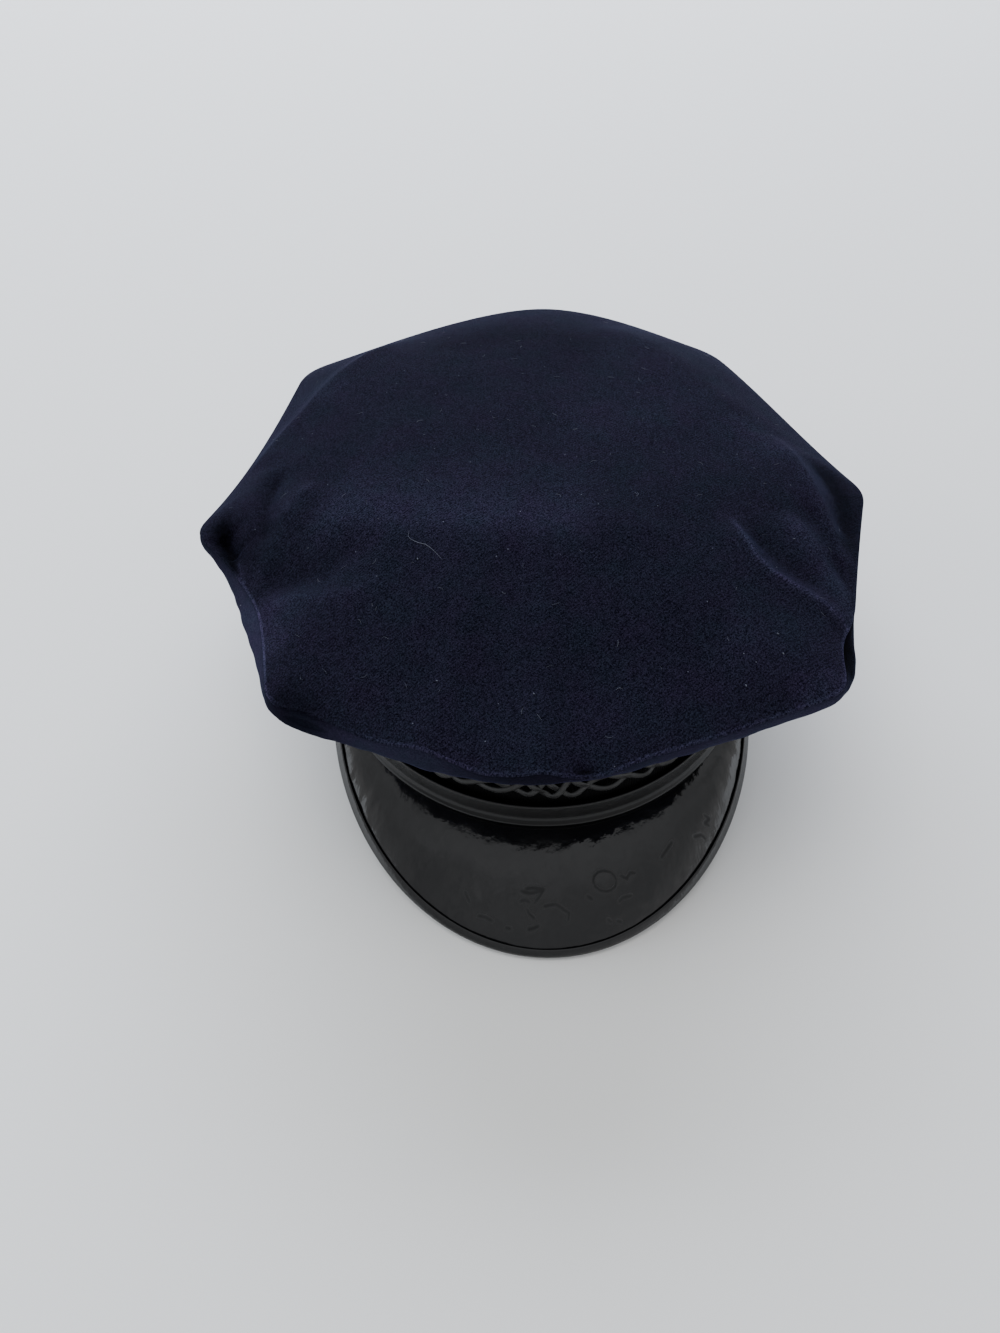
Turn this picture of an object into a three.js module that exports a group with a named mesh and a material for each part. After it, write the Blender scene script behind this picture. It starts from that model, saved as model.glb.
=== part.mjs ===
// A peaked cap: an eight-pointed soft cloth crown on an upright band, with an open plaited braid and a
// front strap round the band, and a glossy peak with a bound edge.
// Millimetres, +Z up. The peak points to -Y, and +X is on the right when the cap is seen from the front.
// Every piece is shaped on the head's own level, where the band stands upright on z = 0. The finished cap
// is then leaned back until it rests on the edge of its peak and the back of its band.
import * as THREE from "three";

// Driving sizes
const SEAM_GAP = 0.3; // clearance between pieces that are sewn face to face
const HEAD = { halfWidth: 84.6, halfLength: 100.8 }; // inside of the band, a head of about 58 cm
const BAND = { wall: 2.4, height: 44, sections: 60 };
const CLOTH = { wall: 1.8 };
const CROWN = {
  centreY: 4, // the middle of the top lies this far behind the middle of the head
  crest: 98, // height of the top at its middle
  crestSlope: 0.035, // the top rises towards the back by this much for each millimetre
  sectionsPerSide: 10,
  rings: 12,
  ringSpread: 0.8, // under 1 draws the rings towards the edge, where the folds are
};
const SIDE = { bulge: 0.15, tuckOut: 16, tuckUp: 9, rows: 4 }; // bulge is a share of the belly's depth
const STRAP = { low: 2.9, width: 11, wall: 1.6, off: 0.4, endAngle: 78, sections: 40, rows: 2 };
const BUTTON = { radius: 4.6, height: 3.2, rim: 1, sides: 16 };
const BRAID = { low: 19.5, levelRise: 6, repeats: 42, strand: 2.2, wall: 1.2, off: 0.35 };
const PEAK = {
  wall: 2.4,
  halfWidth: 88.2, // at its widest, beside the ears
  widestY: -28,
  tipY: -142.4,
  tipZ: -30.3,
  cornerZ: 0.4,
  ease: 0.2, // levels the outer edge off gently towards its corners
  outerEnd: 95, // degrees round the outer edge, from the tip to each corner
  innerEnd: 80, // degrees round the band, from the front to each corner
  seatOff: 1.15,
  seatZ: 1.5,
  camber: 4.5, // how far the middle of the peak rises above a straight slope
  sections: 32,
  crowding: 0.2,
  rows: 5,
};
const BINDING = { reach: 4, most: 0.8, wall: 0.8, nose: 1.15 };
const REST = { flatten: 0.4 }; // leather presses flat by this much where it rests

// One row for each point of the crown, from the front round by +X. azimuth is in degrees from the front,
// reach is measured from the head's middle, height is the edge's, soft rounds the point as a share of a
// side, bow curves the side that follows outwards, fall tells how late the top turns down to the edge, and
// belly is how deep the cloth side hangs before it tucks in.
const CROWN_POINTS = [
  { name: "front", azimuth: -2.5, reach: 141.5, height: 68.5, soft: 0.23, bow: 3, fall: 1.9, belly: 5 },
  { name: "front_right", azimuth: 44, reach: 145, height: 68, soft: 0.07, bow: 0, fall: 2.6, belly: 12 },
  { name: "right", azimuth: 95.5, reach: 137, height: 72.5, soft: 0.06, bow: 0, fall: 3.2, belly: 12 },
  { name: "back_right", azimuth: 133.5, reach: 139.5, height: 80, soft: 0.16, bow: 13, fall: 4, belly: 13 },
  { name: "back", azimuth: 177.5, reach: 149, height: 92, soft: 0.14, bow: 6, fall: 4, belly: 14 },
  { name: "back_left", azimuth: 226, reach: 149.5, height: 83, soft: 0.085, bow: -4.5, fall: 5, belly: 13 },
  { name: "left", azimuth: 272.5, reach: 145.5, height: 71.5, soft: 0.11, bow: -8.5, fall: 3.6, belly: 10 },
  { name: "front_left", azimuth: 317.5, reach: 150, height: 67, soft: 0.16, bow: -2, fall: 2.4, belly: 6 },
];

// One row for each fold or dent of the top. It runs from one plan point to another, and rises by so much
// over its half width, or sinks where rise is negative.
const FOLDS = [
  { name: "right_crest", from: [70, -30], to: [110, -68], rise: 7, halfWidth: 12 },
  { name: "right_furrow", from: [88, -18], to: [118, -46], rise: -7, halfWidth: 14 },
  { name: "right_hollow", from: [112, 40], to: [120, 4], rise: -5, halfWidth: 15 },
  { name: "left_crest", from: [-54, -55], to: [-106, -60], rise: 6, halfWidth: 12 },
  { name: "left_dent", from: [-66, -40], to: [-90, -34], rise: -8, halfWidth: 13 },
  { name: "left_furrow", from: [-100, 22], to: [-111, -8], rise: -6, halfWidth: 14 },
  { name: "left_hollow", from: [-127, -15], to: [-122, -32], rise: -10, halfWidth: 13 },
];
const FOLD_FADE = 7; // power of the share of the way out at which folds die away into the edge

const COLOURS = {
  cloth: { color: 0x14172a, roughness: 0.95, metalness: 0 },
  band: { color: 0x0a0a0c, roughness: 0.8, metalness: 0 },
  cord: { color: 0x141416, roughness: 0.4, metalness: 0 },
  patent: { color: 0x0c0c0e, roughness: 0.12, metalness: 0 },
};

// Small helpers
const radians = THREE.MathUtils.degToRad;
const mix = THREE.MathUtils.lerp;
const point = (x, y, z) => new THREE.Vector3(x, y, z);
const steps = (count) => Array.from({ length: count + 1 }, (_, i) => i / count);

// A point of the band's outer oval at a turn from the front, moved outwards by off.
function oval(turn, off, z) {
  const halfWidth = HEAD.halfWidth + BAND.wall + off;
  const halfLength = HEAD.halfLength + BAND.wall + off;
  return point(halfWidth * Math.sin(turn), -halfLength * Math.cos(turn), z);
}

// A closed solid from rows of outer points and matching rows of inner points, one row for each section.
// A ring joins its last section to its first. Triangles that shrink to a line, as at a pole, are left out.
function wallSolid(outer, inner, ring) {
  const corners = [];
  const smallest = 1e-6;
  const side = [new THREE.Vector3(), new THREE.Vector3()];
  const triangle = (a, b, c) => {
    side[0].subVectors(b, a);
    side[1].subVectors(c, a);
    if (side[0].cross(side[1]).length() > smallest) corners.push(a, b, c);
  };
  const quad = (a, b, c, d) => {
    triangle(a, b, c);
    triangle(a, c, d);
  };
  const sections = outer.length;
  const last = outer[0].length - 1;
  for (let i = 0; i < (ring ? sections : sections - 1); i++) {
    const next = (i + 1) % sections;
    for (let j = 0; j < last; j++) {
      quad(outer[i][j], outer[next][j], outer[next][j + 1], outer[i][j + 1]);
      quad(inner[i][j + 1], inner[next][j + 1], inner[next][j], inner[i][j]);
    }
    quad(inner[i][0], inner[next][0], outer[next][0], outer[i][0]);
    quad(outer[i][last], outer[next][last], inner[next][last], inner[i][last]);
  }
  if (!ring) {
    for (let j = 0; j < last; j++) {
      quad(inner[0][j], outer[0][j], outer[0][j + 1], inner[0][j + 1]);
      const end = sections - 1;
      quad(outer[end][j], inner[end][j], inner[end][j + 1], outer[end][j + 1]);
    }
  }
  return solidFromCorners(corners);
}

// A geometry from a list of triangle corners, turned so that its faces point out.
function solidFromCorners(corners) {
  let volume = 0;
  const cross = new THREE.Vector3();
  for (let i = 0; i < corners.length; i += 3) {
    volume += corners[i].dot(cross.crossVectors(corners[i + 1], corners[i + 2]));
  }
  const facing = volume < 0 ? corners.slice().reverse() : corners;
  const geometry = new THREE.BufferGeometry().setFromPoints(facing);
  geometry.computeVertexNormals();
  return geometry;
}

// Crown

// A column of the crown's table at a place round it, eased from each point to the next.
function crownColumn(place, column) {
  const count = CROWN_POINTS.length;
  const start = Math.floor(place);
  const along = THREE.MathUtils.smoothstep(place - start, 0, 1);
  const from = CROWN_POINTS[((start % count) + count) % count];
  const to = CROWN_POINTS[(((start + 1) % count) + count) % count];
  return mix(from[column], to[column], along);
}

// The plan place of one of the crown's points.
function crownCorner(index) {
  const count = CROWN_POINTS.length;
  const row = CROWN_POINTS[((index % count) + count) % count];
  const turn = radians(row.azimuth);
  return { x: row.reach * Math.sin(turn), y: -row.reach * Math.cos(turn), bow: row.bow };
}

// The crown's plan outline with sharp points: straight sides, bowed by the table.
function sharpOutline(place) {
  const start = Math.floor(place);
  const along = place - start;
  const a = crownCorner(start);
  const b = crownCorner(start + 1);
  const length = Math.hypot(b.x - a.x, b.y - a.y);
  const bow = (a.bow * 4 * along * (1 - along)) / length;
  return { x: mix(a.x, b.x, along) - bow * (a.y - b.y), y: mix(a.y, b.y, along) + bow * (a.x - b.x) };
}

// The crown's edge at a place round it, where place 0 is the front point and each side adds 1. Points are
// rounded by averaging the outline over a short stretch.
function crownEdge(place) {
  const soft = crownColumn(place, "soft");
  const shares = [-1, -0.5, 0, 0.5, 1];
  const near = shares.map((share) => sharpOutline(place + share * soft));
  const mean = (key) => near.reduce((sum, p) => sum + p[key], 0) / near.length;
  return point(mean("x"), mean("y"), crownColumn(place, "height"));
}

// How far the folds and dents lift a plan point.
function foldLift(x, y) {
  let lift = 0;
  for (const fold of FOLDS) {
    const [fromX, fromY] = fold.from;
    const [runX, runY] = [fold.to[0] - fromX, fold.to[1] - fromY];
    const share = ((x - fromX) * runX + (y - fromY) * runY) / (runX * runX + runY * runY);
    const along = THREE.MathUtils.clamp(share, 0, 1);
    const away = Math.hypot(x - fromX - along * runX, y - fromY - along * runY);
    lift += fold.rise * Math.exp(-((away / fold.halfWidth) ** 2));
  }
  return lift;
}

// A point of the crown's top at a place round it and a share of the way out from its middle.
function topPoint(place, out) {
  const edge = crownEdge(place);
  const x = out * edge.x;
  const y = mix(CROWN.centreY, edge.y, out);
  const level = (planY) => CROWN.crest + CROWN.crestSlope * planY;
  const drop = (edge.z - level(edge.y)) * out ** crownColumn(place, "fall");
  return point(x, y, level(y) + drop + foldLift(x, y) * (1 - out ** FOLD_FADE));
}

const crownPlaces = steps(CROWN_POINTS.length * CROWN.sectionsPerSide)
  .slice(0, -1)
  .map((share) => share * CROWN_POINTS.length);

function makeCrownTop() {
  const outs = steps(CROWN.rings).map((share) => share ** CROWN.ringSpread);
  const outer = crownPlaces.map((place) => outs.map((out) => topPoint(place, out)));
  const inner = outer.map((row) =>
    row.map((p) => {
      const reach = Math.hypot(p.x, p.y - CROWN.centreY);
      const keep = reach > CLOTH.wall ? 1 - CLOTH.wall / reach : 1;
      return point(p.x * keep, mix(CROWN.centreY, p.y, keep), p.z - CLOTH.wall);
    }),
  );
  for (const row of inner) row[0].copy(inner[0][0]);
  return wallSolid(outer, inner, true);
}

// The cloth side hangs from the crown's edge, bellies out a little and tucks in to the top of the band.
function makeCrownSide() {
  const outer = [];
  const inner = [];
  for (const place of crownPlaces) {
    const edge = crownEdge(place);
    edge.z -= CLOTH.wall + SEAM_GAP;
    const turn = Math.atan2(edge.x / HEAD.halfWidth, -edge.y / HEAD.halfLength);
    const foot = oval(turn, 0, BAND.height + SEAM_GAP);
    const away = point(edge.x - foot.x, edge.y - foot.y, 0).normalize();
    const depth = crownColumn(place, "belly");
    const belly = edge.clone().addScaledVector(away, SIDE.bulge * depth);
    belly.z -= depth;
    const tuck = foot.clone().addScaledVector(away, SIDE.tuckOut);
    tuck.z += SIDE.tuckUp;
    const curve = new THREE.CubicBezierCurve3(edge, belly, tuck, foot);
    const shares = steps(SIDE.rows);
    outer.push(shares.map((share) => curve.getPoint(share)));
    inner.push(shares.map((share, row) => sideLining(curve, share, away, row, SIDE.rows)));
  }
  return wallSolid(outer, inner, true);
}

// The inside of the cloth side, one wall in from the outside. Its two hems are square to the seams.
function sideLining(curve, share, away, row, lastRow) {
  const p = curve.getPoint(share);
  if (row === 0 || row === lastRow) return p.addScaledVector(away, -CLOTH.wall);
  const run = curve.getTangent(share);
  const inward = away.clone().multiplyScalar(run.z);
  inward.z = -run.dot(away);
  return p.addScaledVector(inward.normalize(), CLOTH.wall);
}

// Band, braid, strap and buttons

function makeBand() {
  const turns = steps(BAND.sections).slice(0, -1).map((share) => share * 2 * Math.PI);
  const rows = (off) => turns.map((turn) => [oval(turn, off, 0), oval(turn, off, BAND.height)]);
  return wallSolid(rows(0), rows(-BAND.wall), true);
}

// An open plait of three cords: they cross on two levels and turn back on the two outer ones. Each crossing
// or turn is a small diamond, and a stretch of cord joins each diamond to its neighbours on the next level.
function makeBraid() {
  const levels = 4;
  const pitch = (2 * Math.PI) / BRAID.repeats;
  const halfPitch = (Math.PI * (HEAD.halfWidth + HEAD.halfLength)) / BRAID.repeats / 2;
  const slope = Math.atan2(BRAID.levelRise, halfPitch);
  const halfHigh = BRAID.strand / 2 / Math.cos(slope);
  const halfWide = (BRAID.strand / 2 / Math.sin(slope)) * (pitch / 2 / halfPitch);
  const corners = [];
  const face = (off) => (level, index) => {
    const turn = (index + (level % 2) / 2) * pitch;
    const z = BRAID.low + level * BRAID.levelRise;
    return {
      left: oval(turn - halfWide, off, z),
      right: oval(turn + halfWide, off, z),
      low: oval(turn, off, z - halfHigh),
      high: oval(turn, off, z + halfHigh),
    };
  };
  const front = face(BRAID.off + BRAID.wall);
  const back = face(BRAID.off);
  const flat = (a, b, c, d) => corners.push(a, b, c, a, c, d);
  // A patch on both faces, with walls between them along the sides named as free.
  const patch = (f, b, free) => {
    flat(f[0], f[1], f[2], f[3]);
    flat(b[3], b[2], b[1], b[0]);
    for (const k of free) {
      const n = (k + 1) % 4;
      flat(f[n], f[k], b[k], b[n]);
    }
  };
  const diamond = (d) => [d.left, d.low, d.right, d.high];
  const rising = (from, to) => [from.right, to.low, to.left, from.high];
  const falling = (from, to) => [from.high, to.right, to.low, from.left];
  for (let index = 0; index < BRAID.repeats; index++) {
    for (let level = 0; level < levels; level++) {
      const free = level === 0 ? [0, 1] : level === levels - 1 ? [2, 3] : [];
      patch(diamond(front(level, index)), diamond(back(level, index)), free);
      if (level === levels - 1) continue;
      const up = level % 2 ? index + 1 : index;
      const sides = (make, to) => patch(
        make(front(level, index), front(level + 1, to)),
        make(back(level, index), back(level + 1, to)),
        [0, 2],
      );
      sides(rising, up);
      sides(falling, up - 1);
    }
  }
  return solidFromCorners(corners);
}

function makeStrap() {
  const end = radians(STRAP.endAngle);
  const middle = STRAP.low + STRAP.width / 2;
  const roundShare = STRAP.width / 2 / (end * HEAD.halfLength);
  const rows = (off) => steps(STRAP.sections).map((share) => {
    const turn = mix(-end, end, share);
    const toEnd = Math.min(1, (1 - Math.abs(2 * share - 1) + roundShare / 4) / roundShare);
    const half = (STRAP.width / 2) * Math.sqrt(1 - (1 - toEnd) ** 2);
    return steps(STRAP.rows).map((up) => oval(turn, off, mix(middle - half, middle + half, up)));
  });
  return wallSolid(rows(STRAP.off + STRAP.wall), rows(STRAP.off), false);
}

// A plain domed button, turned about its own upright axis.
function makeButton() {
  const dome = steps(4).map((share) => {
    const turn = (share * Math.PI) / 2;
    const rise = (BUTTON.height - BUTTON.rim) * Math.sin(turn);
    return new THREE.Vector2(BUTTON.radius * Math.cos(turn), BUTTON.rim + rise);
  });
  dome[dome.length - 1].x = 0;
  const profile = [new THREE.Vector2(0, 0), new THREE.Vector2(BUTTON.radius, 0), ...dome];
  return new THREE.LatheGeometry(profile, BUTTON.sides);
}

// Peak

// The middle of the peak's thickness at a share of the way round, from -1 to 1, and of the way out.
function peakMiddle(round, out) {
  const turn = radians(PEAK.outerEnd) * round;
  const forward = Math.cos(turn);
  const dip = (forward + Math.hypot(forward, PEAK.ease)) / 2;
  const rim = point(
    PEAK.halfWidth * Math.sin(turn),
    mix(PEAK.widestY, PEAK.tipY, forward),
    mix(PEAK.cornerZ, PEAK.tipZ, dip),
  );
  const seat = oval(radians(PEAK.innerEnd) * round, PEAK.seatOff, PEAK.seatZ);
  const middle = seat.lerp(rim, out);
  middle.z += PEAK.camber * 4 * out * (1 - out) * dip;
  return middle;
}

// The directions along the edge, outwards and out of the upper face at a place on the peak.
function peakDirections(round, out) {
  const small = 1e-3;
  const along = peakMiddle(round + small, out).sub(peakMiddle(round - small, out)).normalize();
  const outward = peakMiddle(round, out + small).sub(peakMiddle(round, out - small)).normalize();
  const up = new THREE.Vector3().crossVectors(outward, along).normalize();
  const across = new THREE.Vector3().crossVectors(along, up);
  return { up, across };
}

// The peak's sections stand a little closer together towards its corners, where its edge bends most.
const peakRounds = steps(PEAK.sections).map((share) => {
  const even = 2 * share - 1;
  return mix(even, even ** 3, -PEAK.crowding);
});

function makePeak() {
  const rows = (lift) => peakRounds.map((round) =>
    steps(PEAK.rows).map((out) =>
      peakMiddle(round, out).addScaledVector(peakDirections(round, out).up, lift),
    ),
  );
  return wallSolid(rows(PEAK.wall / 2), rows(-PEAK.wall / 2), false);
}

// The binding folds over the peak's edge, and stops a section short of each corner. Its section is given
// outwards and upwards from the peak's edge. Places behind the edge are shares of the binding's reach over
// the peak, which shrinks where the peak grows narrow.
function makeBinding() {
  const inside = PEAK.wall / 2 + SEAM_GAP;
  const outside = inside + BINDING.wall;
  const shoulder = { out: 0.6 * BINDING.nose, up: 0.85 * outside };
  const outerSection = [
    [-1, outside],
    [-1 / 3, outside],
    [shoulder.out, shoulder.up],
    [BINDING.nose, 0],
    [shoulder.out, -shoulder.up],
    [-1 / 3, -outside],
    [-1, -outside],
  ];
  const innerSection = outerSection.map(([out, up]) => [
    Math.min(out, SEAM_GAP),
    THREE.MathUtils.clamp(up, -inside, inside),
  ]);
  innerSection[2][1] = inside;
  innerSection[4][1] = -inside;
  const rows = (section) => peakRounds.slice(1, -1).map((round) => {
    const width = peakMiddle(round, 1).distanceTo(peakMiddle(round, 0));
    const reach = Math.min(BINDING.reach / width, BINDING.most);
    return section.map(([out, lift]) => {
      const place = 1 + Math.min(0, out) * reach;
      const { up, across } = peakDirections(round, place);
      const seat = peakMiddle(round, place).addScaledVector(up, lift);
      return seat.addScaledVector(across, Math.max(0, out));
    });
  });
  return wallSolid(rows(outerSection), rows(innerSection), false);
}

// Resting on a table

// The corner of a geometry that lies lowest once the cap leans back by tilt, and how low it lies.
function lowestCorner(geometry, tilt) {
  const corner = new THREE.Vector3();
  const place = geometry.getAttribute("position");
  let lowest = { level: Infinity };
  for (let i = 0; i < place.count; i++) {
    corner.fromBufferAttribute(place, i);
    const level = corner.z * Math.cos(tilt) - corner.y * Math.sin(tilt);
    if (level < lowest.level) lowest = { level, y: corner.y, z: corner.z };
  }
  return lowest;
}

// The lean at which the peak's binding and the back of the band touch a table together.
function restTilt(front, back) {
  let tilt = 0.1;
  for (let round = 0; round < 20; round++) {
    const toe = lowestCorner(front, tilt);
    const heel = lowestCorner(back, tilt);
    tilt = Math.atan2(heel.z - toe.z, heel.y - toe.y);
  }
  return tilt;
}

// Presses a geometry flat where it would reach below the table's level.
function pressFlat(geometry, tilt, table) {
  const corner = new THREE.Vector3();
  const tableUp = point(0, -Math.sin(tilt), Math.cos(tilt));
  const place = geometry.getAttribute("position");
  for (let i = 0; i < place.count; i++) {
    corner.fromBufferAttribute(place, i);
    const below = table - corner.dot(tableUp);
    if (below > 0) corner.addScaledVector(tableUp, below);
    place.setXYZ(i, corner.x, corner.y, corner.z);
  }
}

// Assembly

function addPiece(group, name, geometry, colours) {
  const mesh = new THREE.Mesh(geometry, new THREE.MeshStandardMaterial(colours));
  mesh.name = name;
  group.add(mesh);
  return mesh;
}

function addButton(group, name, turn) {
  const button = addPiece(group, name, makeButton(), COLOURS.patent);
  const middle = STRAP.low + STRAP.width / 2;
  const seat = oval(turn, STRAP.off + STRAP.wall + SEAM_GAP, middle);
  const away = point(Math.sin(turn) / HEAD.halfWidth, -Math.cos(turn) / HEAD.halfLength, 0).normalize();
  button.position.copy(seat);
  button.quaternion.setFromUnitVectors(point(0, 1, 0), away);
}

const head = new THREE.Group();
const band = addPiece(head, "band", makeBand(), COLOURS.band);
const binding = addPiece(head, "peak_binding", makeBinding(), COLOURS.patent);
addPiece(head, "crown_top", makeCrownTop(), COLOURS.cloth);
addPiece(head, "crown_side", makeCrownSide(), COLOURS.cloth);
addPiece(head, "braid", makeBraid(), COLOURS.cord);
addPiece(head, "strap", makeStrap(), COLOURS.patent);
addPiece(head, "peak", makePeak(), COLOURS.patent);
addButton(head, "strap_button_right", radians(STRAP.endAngle - 4));
addButton(head, "strap_button_left", radians(4 - STRAP.endAngle));

const tilt = restTilt(binding.geometry, band.geometry);
const table = lowestCorner(band.geometry, tilt).level + REST.flatten;
pressFlat(band.geometry, tilt, table);
pressFlat(binding.geometry, tilt, table);
head.rotation.x = -tilt;

// The cap's frame has its origin on the table, under the middle of the whole cap.
const cap = new THREE.Group();
cap.add(head);
cap.updateMatrixWorld(true);
const box = new THREE.Box3().setFromObject(cap, true);
const middle = box.getCenter(new THREE.Vector3());
head.position.set(-middle.x, -middle.y, -box.min.z);

export default cap;
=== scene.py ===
# %% [markdown]
# # A peaked cap
# This lesson dresses a soft peaked cap that has already been worked out as plain solids. The solids fix the
# cap's size and the place of each piece. Each visible piece is made again here as a fine surface, worked out
# with numpy from a few sizes, and gets a finish of its own: wool twill, ribbed cloth, cord, or black patent.

# %% Load the solids
from itertools import chain

import bmesh
import bpy
import numpy as np
from mathutils import Matrix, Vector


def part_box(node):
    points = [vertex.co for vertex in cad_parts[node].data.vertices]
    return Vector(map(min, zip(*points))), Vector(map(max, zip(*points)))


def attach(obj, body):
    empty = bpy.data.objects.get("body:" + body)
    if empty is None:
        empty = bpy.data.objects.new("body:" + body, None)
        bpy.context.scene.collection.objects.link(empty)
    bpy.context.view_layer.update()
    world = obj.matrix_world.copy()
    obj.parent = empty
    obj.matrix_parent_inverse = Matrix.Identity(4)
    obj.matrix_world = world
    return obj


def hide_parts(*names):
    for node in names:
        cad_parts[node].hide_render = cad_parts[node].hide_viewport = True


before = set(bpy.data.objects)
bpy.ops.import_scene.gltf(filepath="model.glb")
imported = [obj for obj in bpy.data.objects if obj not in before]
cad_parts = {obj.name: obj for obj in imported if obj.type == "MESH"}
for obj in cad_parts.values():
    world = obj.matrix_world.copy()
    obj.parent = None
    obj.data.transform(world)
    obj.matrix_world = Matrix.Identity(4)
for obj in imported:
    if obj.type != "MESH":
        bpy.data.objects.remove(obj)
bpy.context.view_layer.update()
print("solids:", sorted(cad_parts))

# %% [markdown]
# ## The head's own level
# A cap is easiest to describe as it sits on a level head: the band upright, its lower edge at zero. On a
# table it leans back, on the edge of its peak and the back of its band. So every shape below is worked out
# on the head's level in millimetres, and one function leans it back into the solids' frame in metres.

# %% From the head's level to the table
LEAN = np.radians(7.5347)
HEAD_AT = np.array([3.0585, -5.4974, 13.1322])
METRE = 1000


def lean_back(directions):
    """Turns rows of directions about the X axis by the cap's lean, so that the front rises."""
    turn = np.array([[1, 0, 0], [0, np.cos(LEAN), np.sin(LEAN)], [0, -np.sin(LEAN), np.cos(LEAN)]])
    return directions @ turn.T


def on_table(points):
    """Leans points on the head's level back, moves them over the table, and turns millimetres to metres."""
    return (lean_back(points) + HEAD_AT) / METRE


band_low, band_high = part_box("band")
print("middle of the band across the cap:", round((band_low.x + band_high.x) / 2 * METRE, 2), "mm")

# %% [markdown]
# ## Camera
# The camera looks down on the front of the cap from close by. Its place is given on the head's level, and
# leans with the cap. A lens is set by its focal length: for an image 1333 pixels high it is the distance in
# pixels times the sensor's 36 mm over 1333.

# %% Set up the camera
CAMERA_AT = np.array([-20.57, -370.51, 343.0])
CAMERA_RISE = np.radians(43.9)
CAMERA_ROUND = np.radians(-0.405)
CAMERA_ROLL = np.radians(-0.718)
FOCAL_PIXELS = 1100
IMAGE_HIGH = 1333
SENSOR = 36

back = np.array([
    np.sin(CAMERA_ROUND) * np.cos(CAMERA_RISE),
    -np.cos(CAMERA_ROUND) * np.cos(CAMERA_RISE),
    np.sin(CAMERA_RISE),
])
level = np.array([np.cos(CAMERA_ROUND), np.sin(CAMERA_ROUND), 0])
upward = np.cross(back, level)
axes = lean_back(np.array([
    level * np.cos(CAMERA_ROLL) + upward * np.sin(CAMERA_ROLL),
    upward * np.cos(CAMERA_ROLL) - level * np.sin(CAMERA_ROLL),
    back,
]))
camera_place = np.eye(4)
camera_place[:3, :3] = axes.T
camera_place[:3, 3] = on_table(CAMERA_AT)

camera_data = bpy.data.cameras.new("camera")
camera_data.sensor_width = SENSOR
camera_data.lens = FOCAL_PIXELS * SENSOR / IMAGE_HIGH
camera = bpy.data.objects.new("camera", camera_data)
camera.matrix_world = Matrix(camera_place.tolist())
bpy.context.scene.collection.objects.link(camera)
bpy.context.scene.camera = camera
print("camera at", [round(v, 3) for v in camera.location], "m, lens", round(camera_data.lens, 1), "mm")

# %% [markdown]
# ## Floor
# The cap stands on a plain pale floor, which is only a stage for it: one square face, far wider than the
# view. A finish is a material whose shader gets its inputs by name, from one helper for all finishes.

# %% Lay the floor
FLOOR_HALF = 4.0
FLOOR_CORNERS = [(-1, -1, 0), (1, -1, 0), (1, 1, 0), (-1, 1, 0)]


def set_inputs(tree, node, inputs):
    """Sets inputs of a shader node. Another node's output is linked to it, and any other value is put on the
    input itself."""
    for key, value in inputs.items():
        if isinstance(value, bpy.types.NodeSocket):
            tree.links.new(value, node.inputs[key])
        else:
            node.inputs[key].default_value = value


def set_finish(finish, **inputs):
    """Sets inputs of a finish's shader. Spaces in an input's name are written as underscores."""
    named = {key.replace("_", " "): value for key, value in inputs.items()}
    set_inputs(finish.node_tree, finish.node_tree.nodes["Principled BSDF"], named)


def new_finish(name, **inputs):
    """A material whose shader takes these inputs."""
    finish = bpy.data.materials.new(name)
    finish.use_nodes = True
    set_finish(finish, **inputs)
    return finish


floor_mesh = bpy.data.meshes.new("floor")
floor_mesh.from_pydata((np.array(FLOOR_CORNERS) * FLOOR_HALF).tolist(), [], [(0, 1, 2, 3)])
floor = bpy.data.objects.new("floor", floor_mesh)
bpy.context.scene.collection.objects.link(floor)
floor_mesh.materials.append(
    new_finish("pale floor", Base_Color=(0.88, 0.88, 0.865, 1), Roughness=0.9, Specular_IOR_Level=0.1)
)
print("floor:", 2 * FLOOR_HALF, "m wide")

# %% [markdown]
# ## Lamps
# A broad lamp behind the cap, low and wide like a pale wall, lights the flat of the crown and leaves the
# front slope darker. A smaller one at the left, like a window, lights one flank of every fold. Both are a
# little blue. Weaker, plain ones hang in front and overhead. Each faces the middle of the floor, and only
# the wall can be seen mirrored in the cap.

# %% Hang the lamps
PLAIN_LIGHT = (1, 1, 1)
WALL_LIGHT = (0.80, 0.86, 1)
WINDOW_LIGHT = (0.84, 0.92, 1)
# Name, place, width, height, watts, whether it is mirrored, and colour.
LAMPS = [
    ("wall", (0.0, 1.7, 1.15), 2.6, 1.1, 72, True, WALL_LIGHT),
    ("window", (-1.8, 0.25, 0.7), 1.4, 1.0, 16, False, WINDOW_LIGHT),
    ("fill", (-0.5, -1.7, 0.45), 2.2, 0.7, 10, False, PLAIN_LIGHT),
    ("overhead", (-0.3, 0.1, 1.9), 1.2, 1.2, 10, False, PLAIN_LIGHT),
]

for lamp_name, at, wide, high, watts, mirrored, colour in LAMPS:
    light = bpy.data.lights.new(lamp_name, "AREA")
    light.shape = "RECTANGLE"
    light.energy = watts
    light.color = colour
    light.size = wide
    light.size_y = high
    lamp = bpy.data.objects.new(lamp_name, light)
    lamp.location = at
    lamp.visible_glossy = mirrored
    lamp.rotation_euler = lamp.location.to_track_quat("Z", "Y").to_euler()
    bpy.context.scene.collection.objects.link(lamp)
print("lamps:", [row[0] for row in LAMPS])

# %% [markdown]
# ## Sky
# Glossy leather is mostly seen by what it mirrors. A picture of a room could surround the cap, but a painted
# sky needs no file: a cloudy grade that is paler at the top, and pale again at the horizon except in one dim
# quarter. The helpers for its shader nodes serve every finish below as well.

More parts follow.
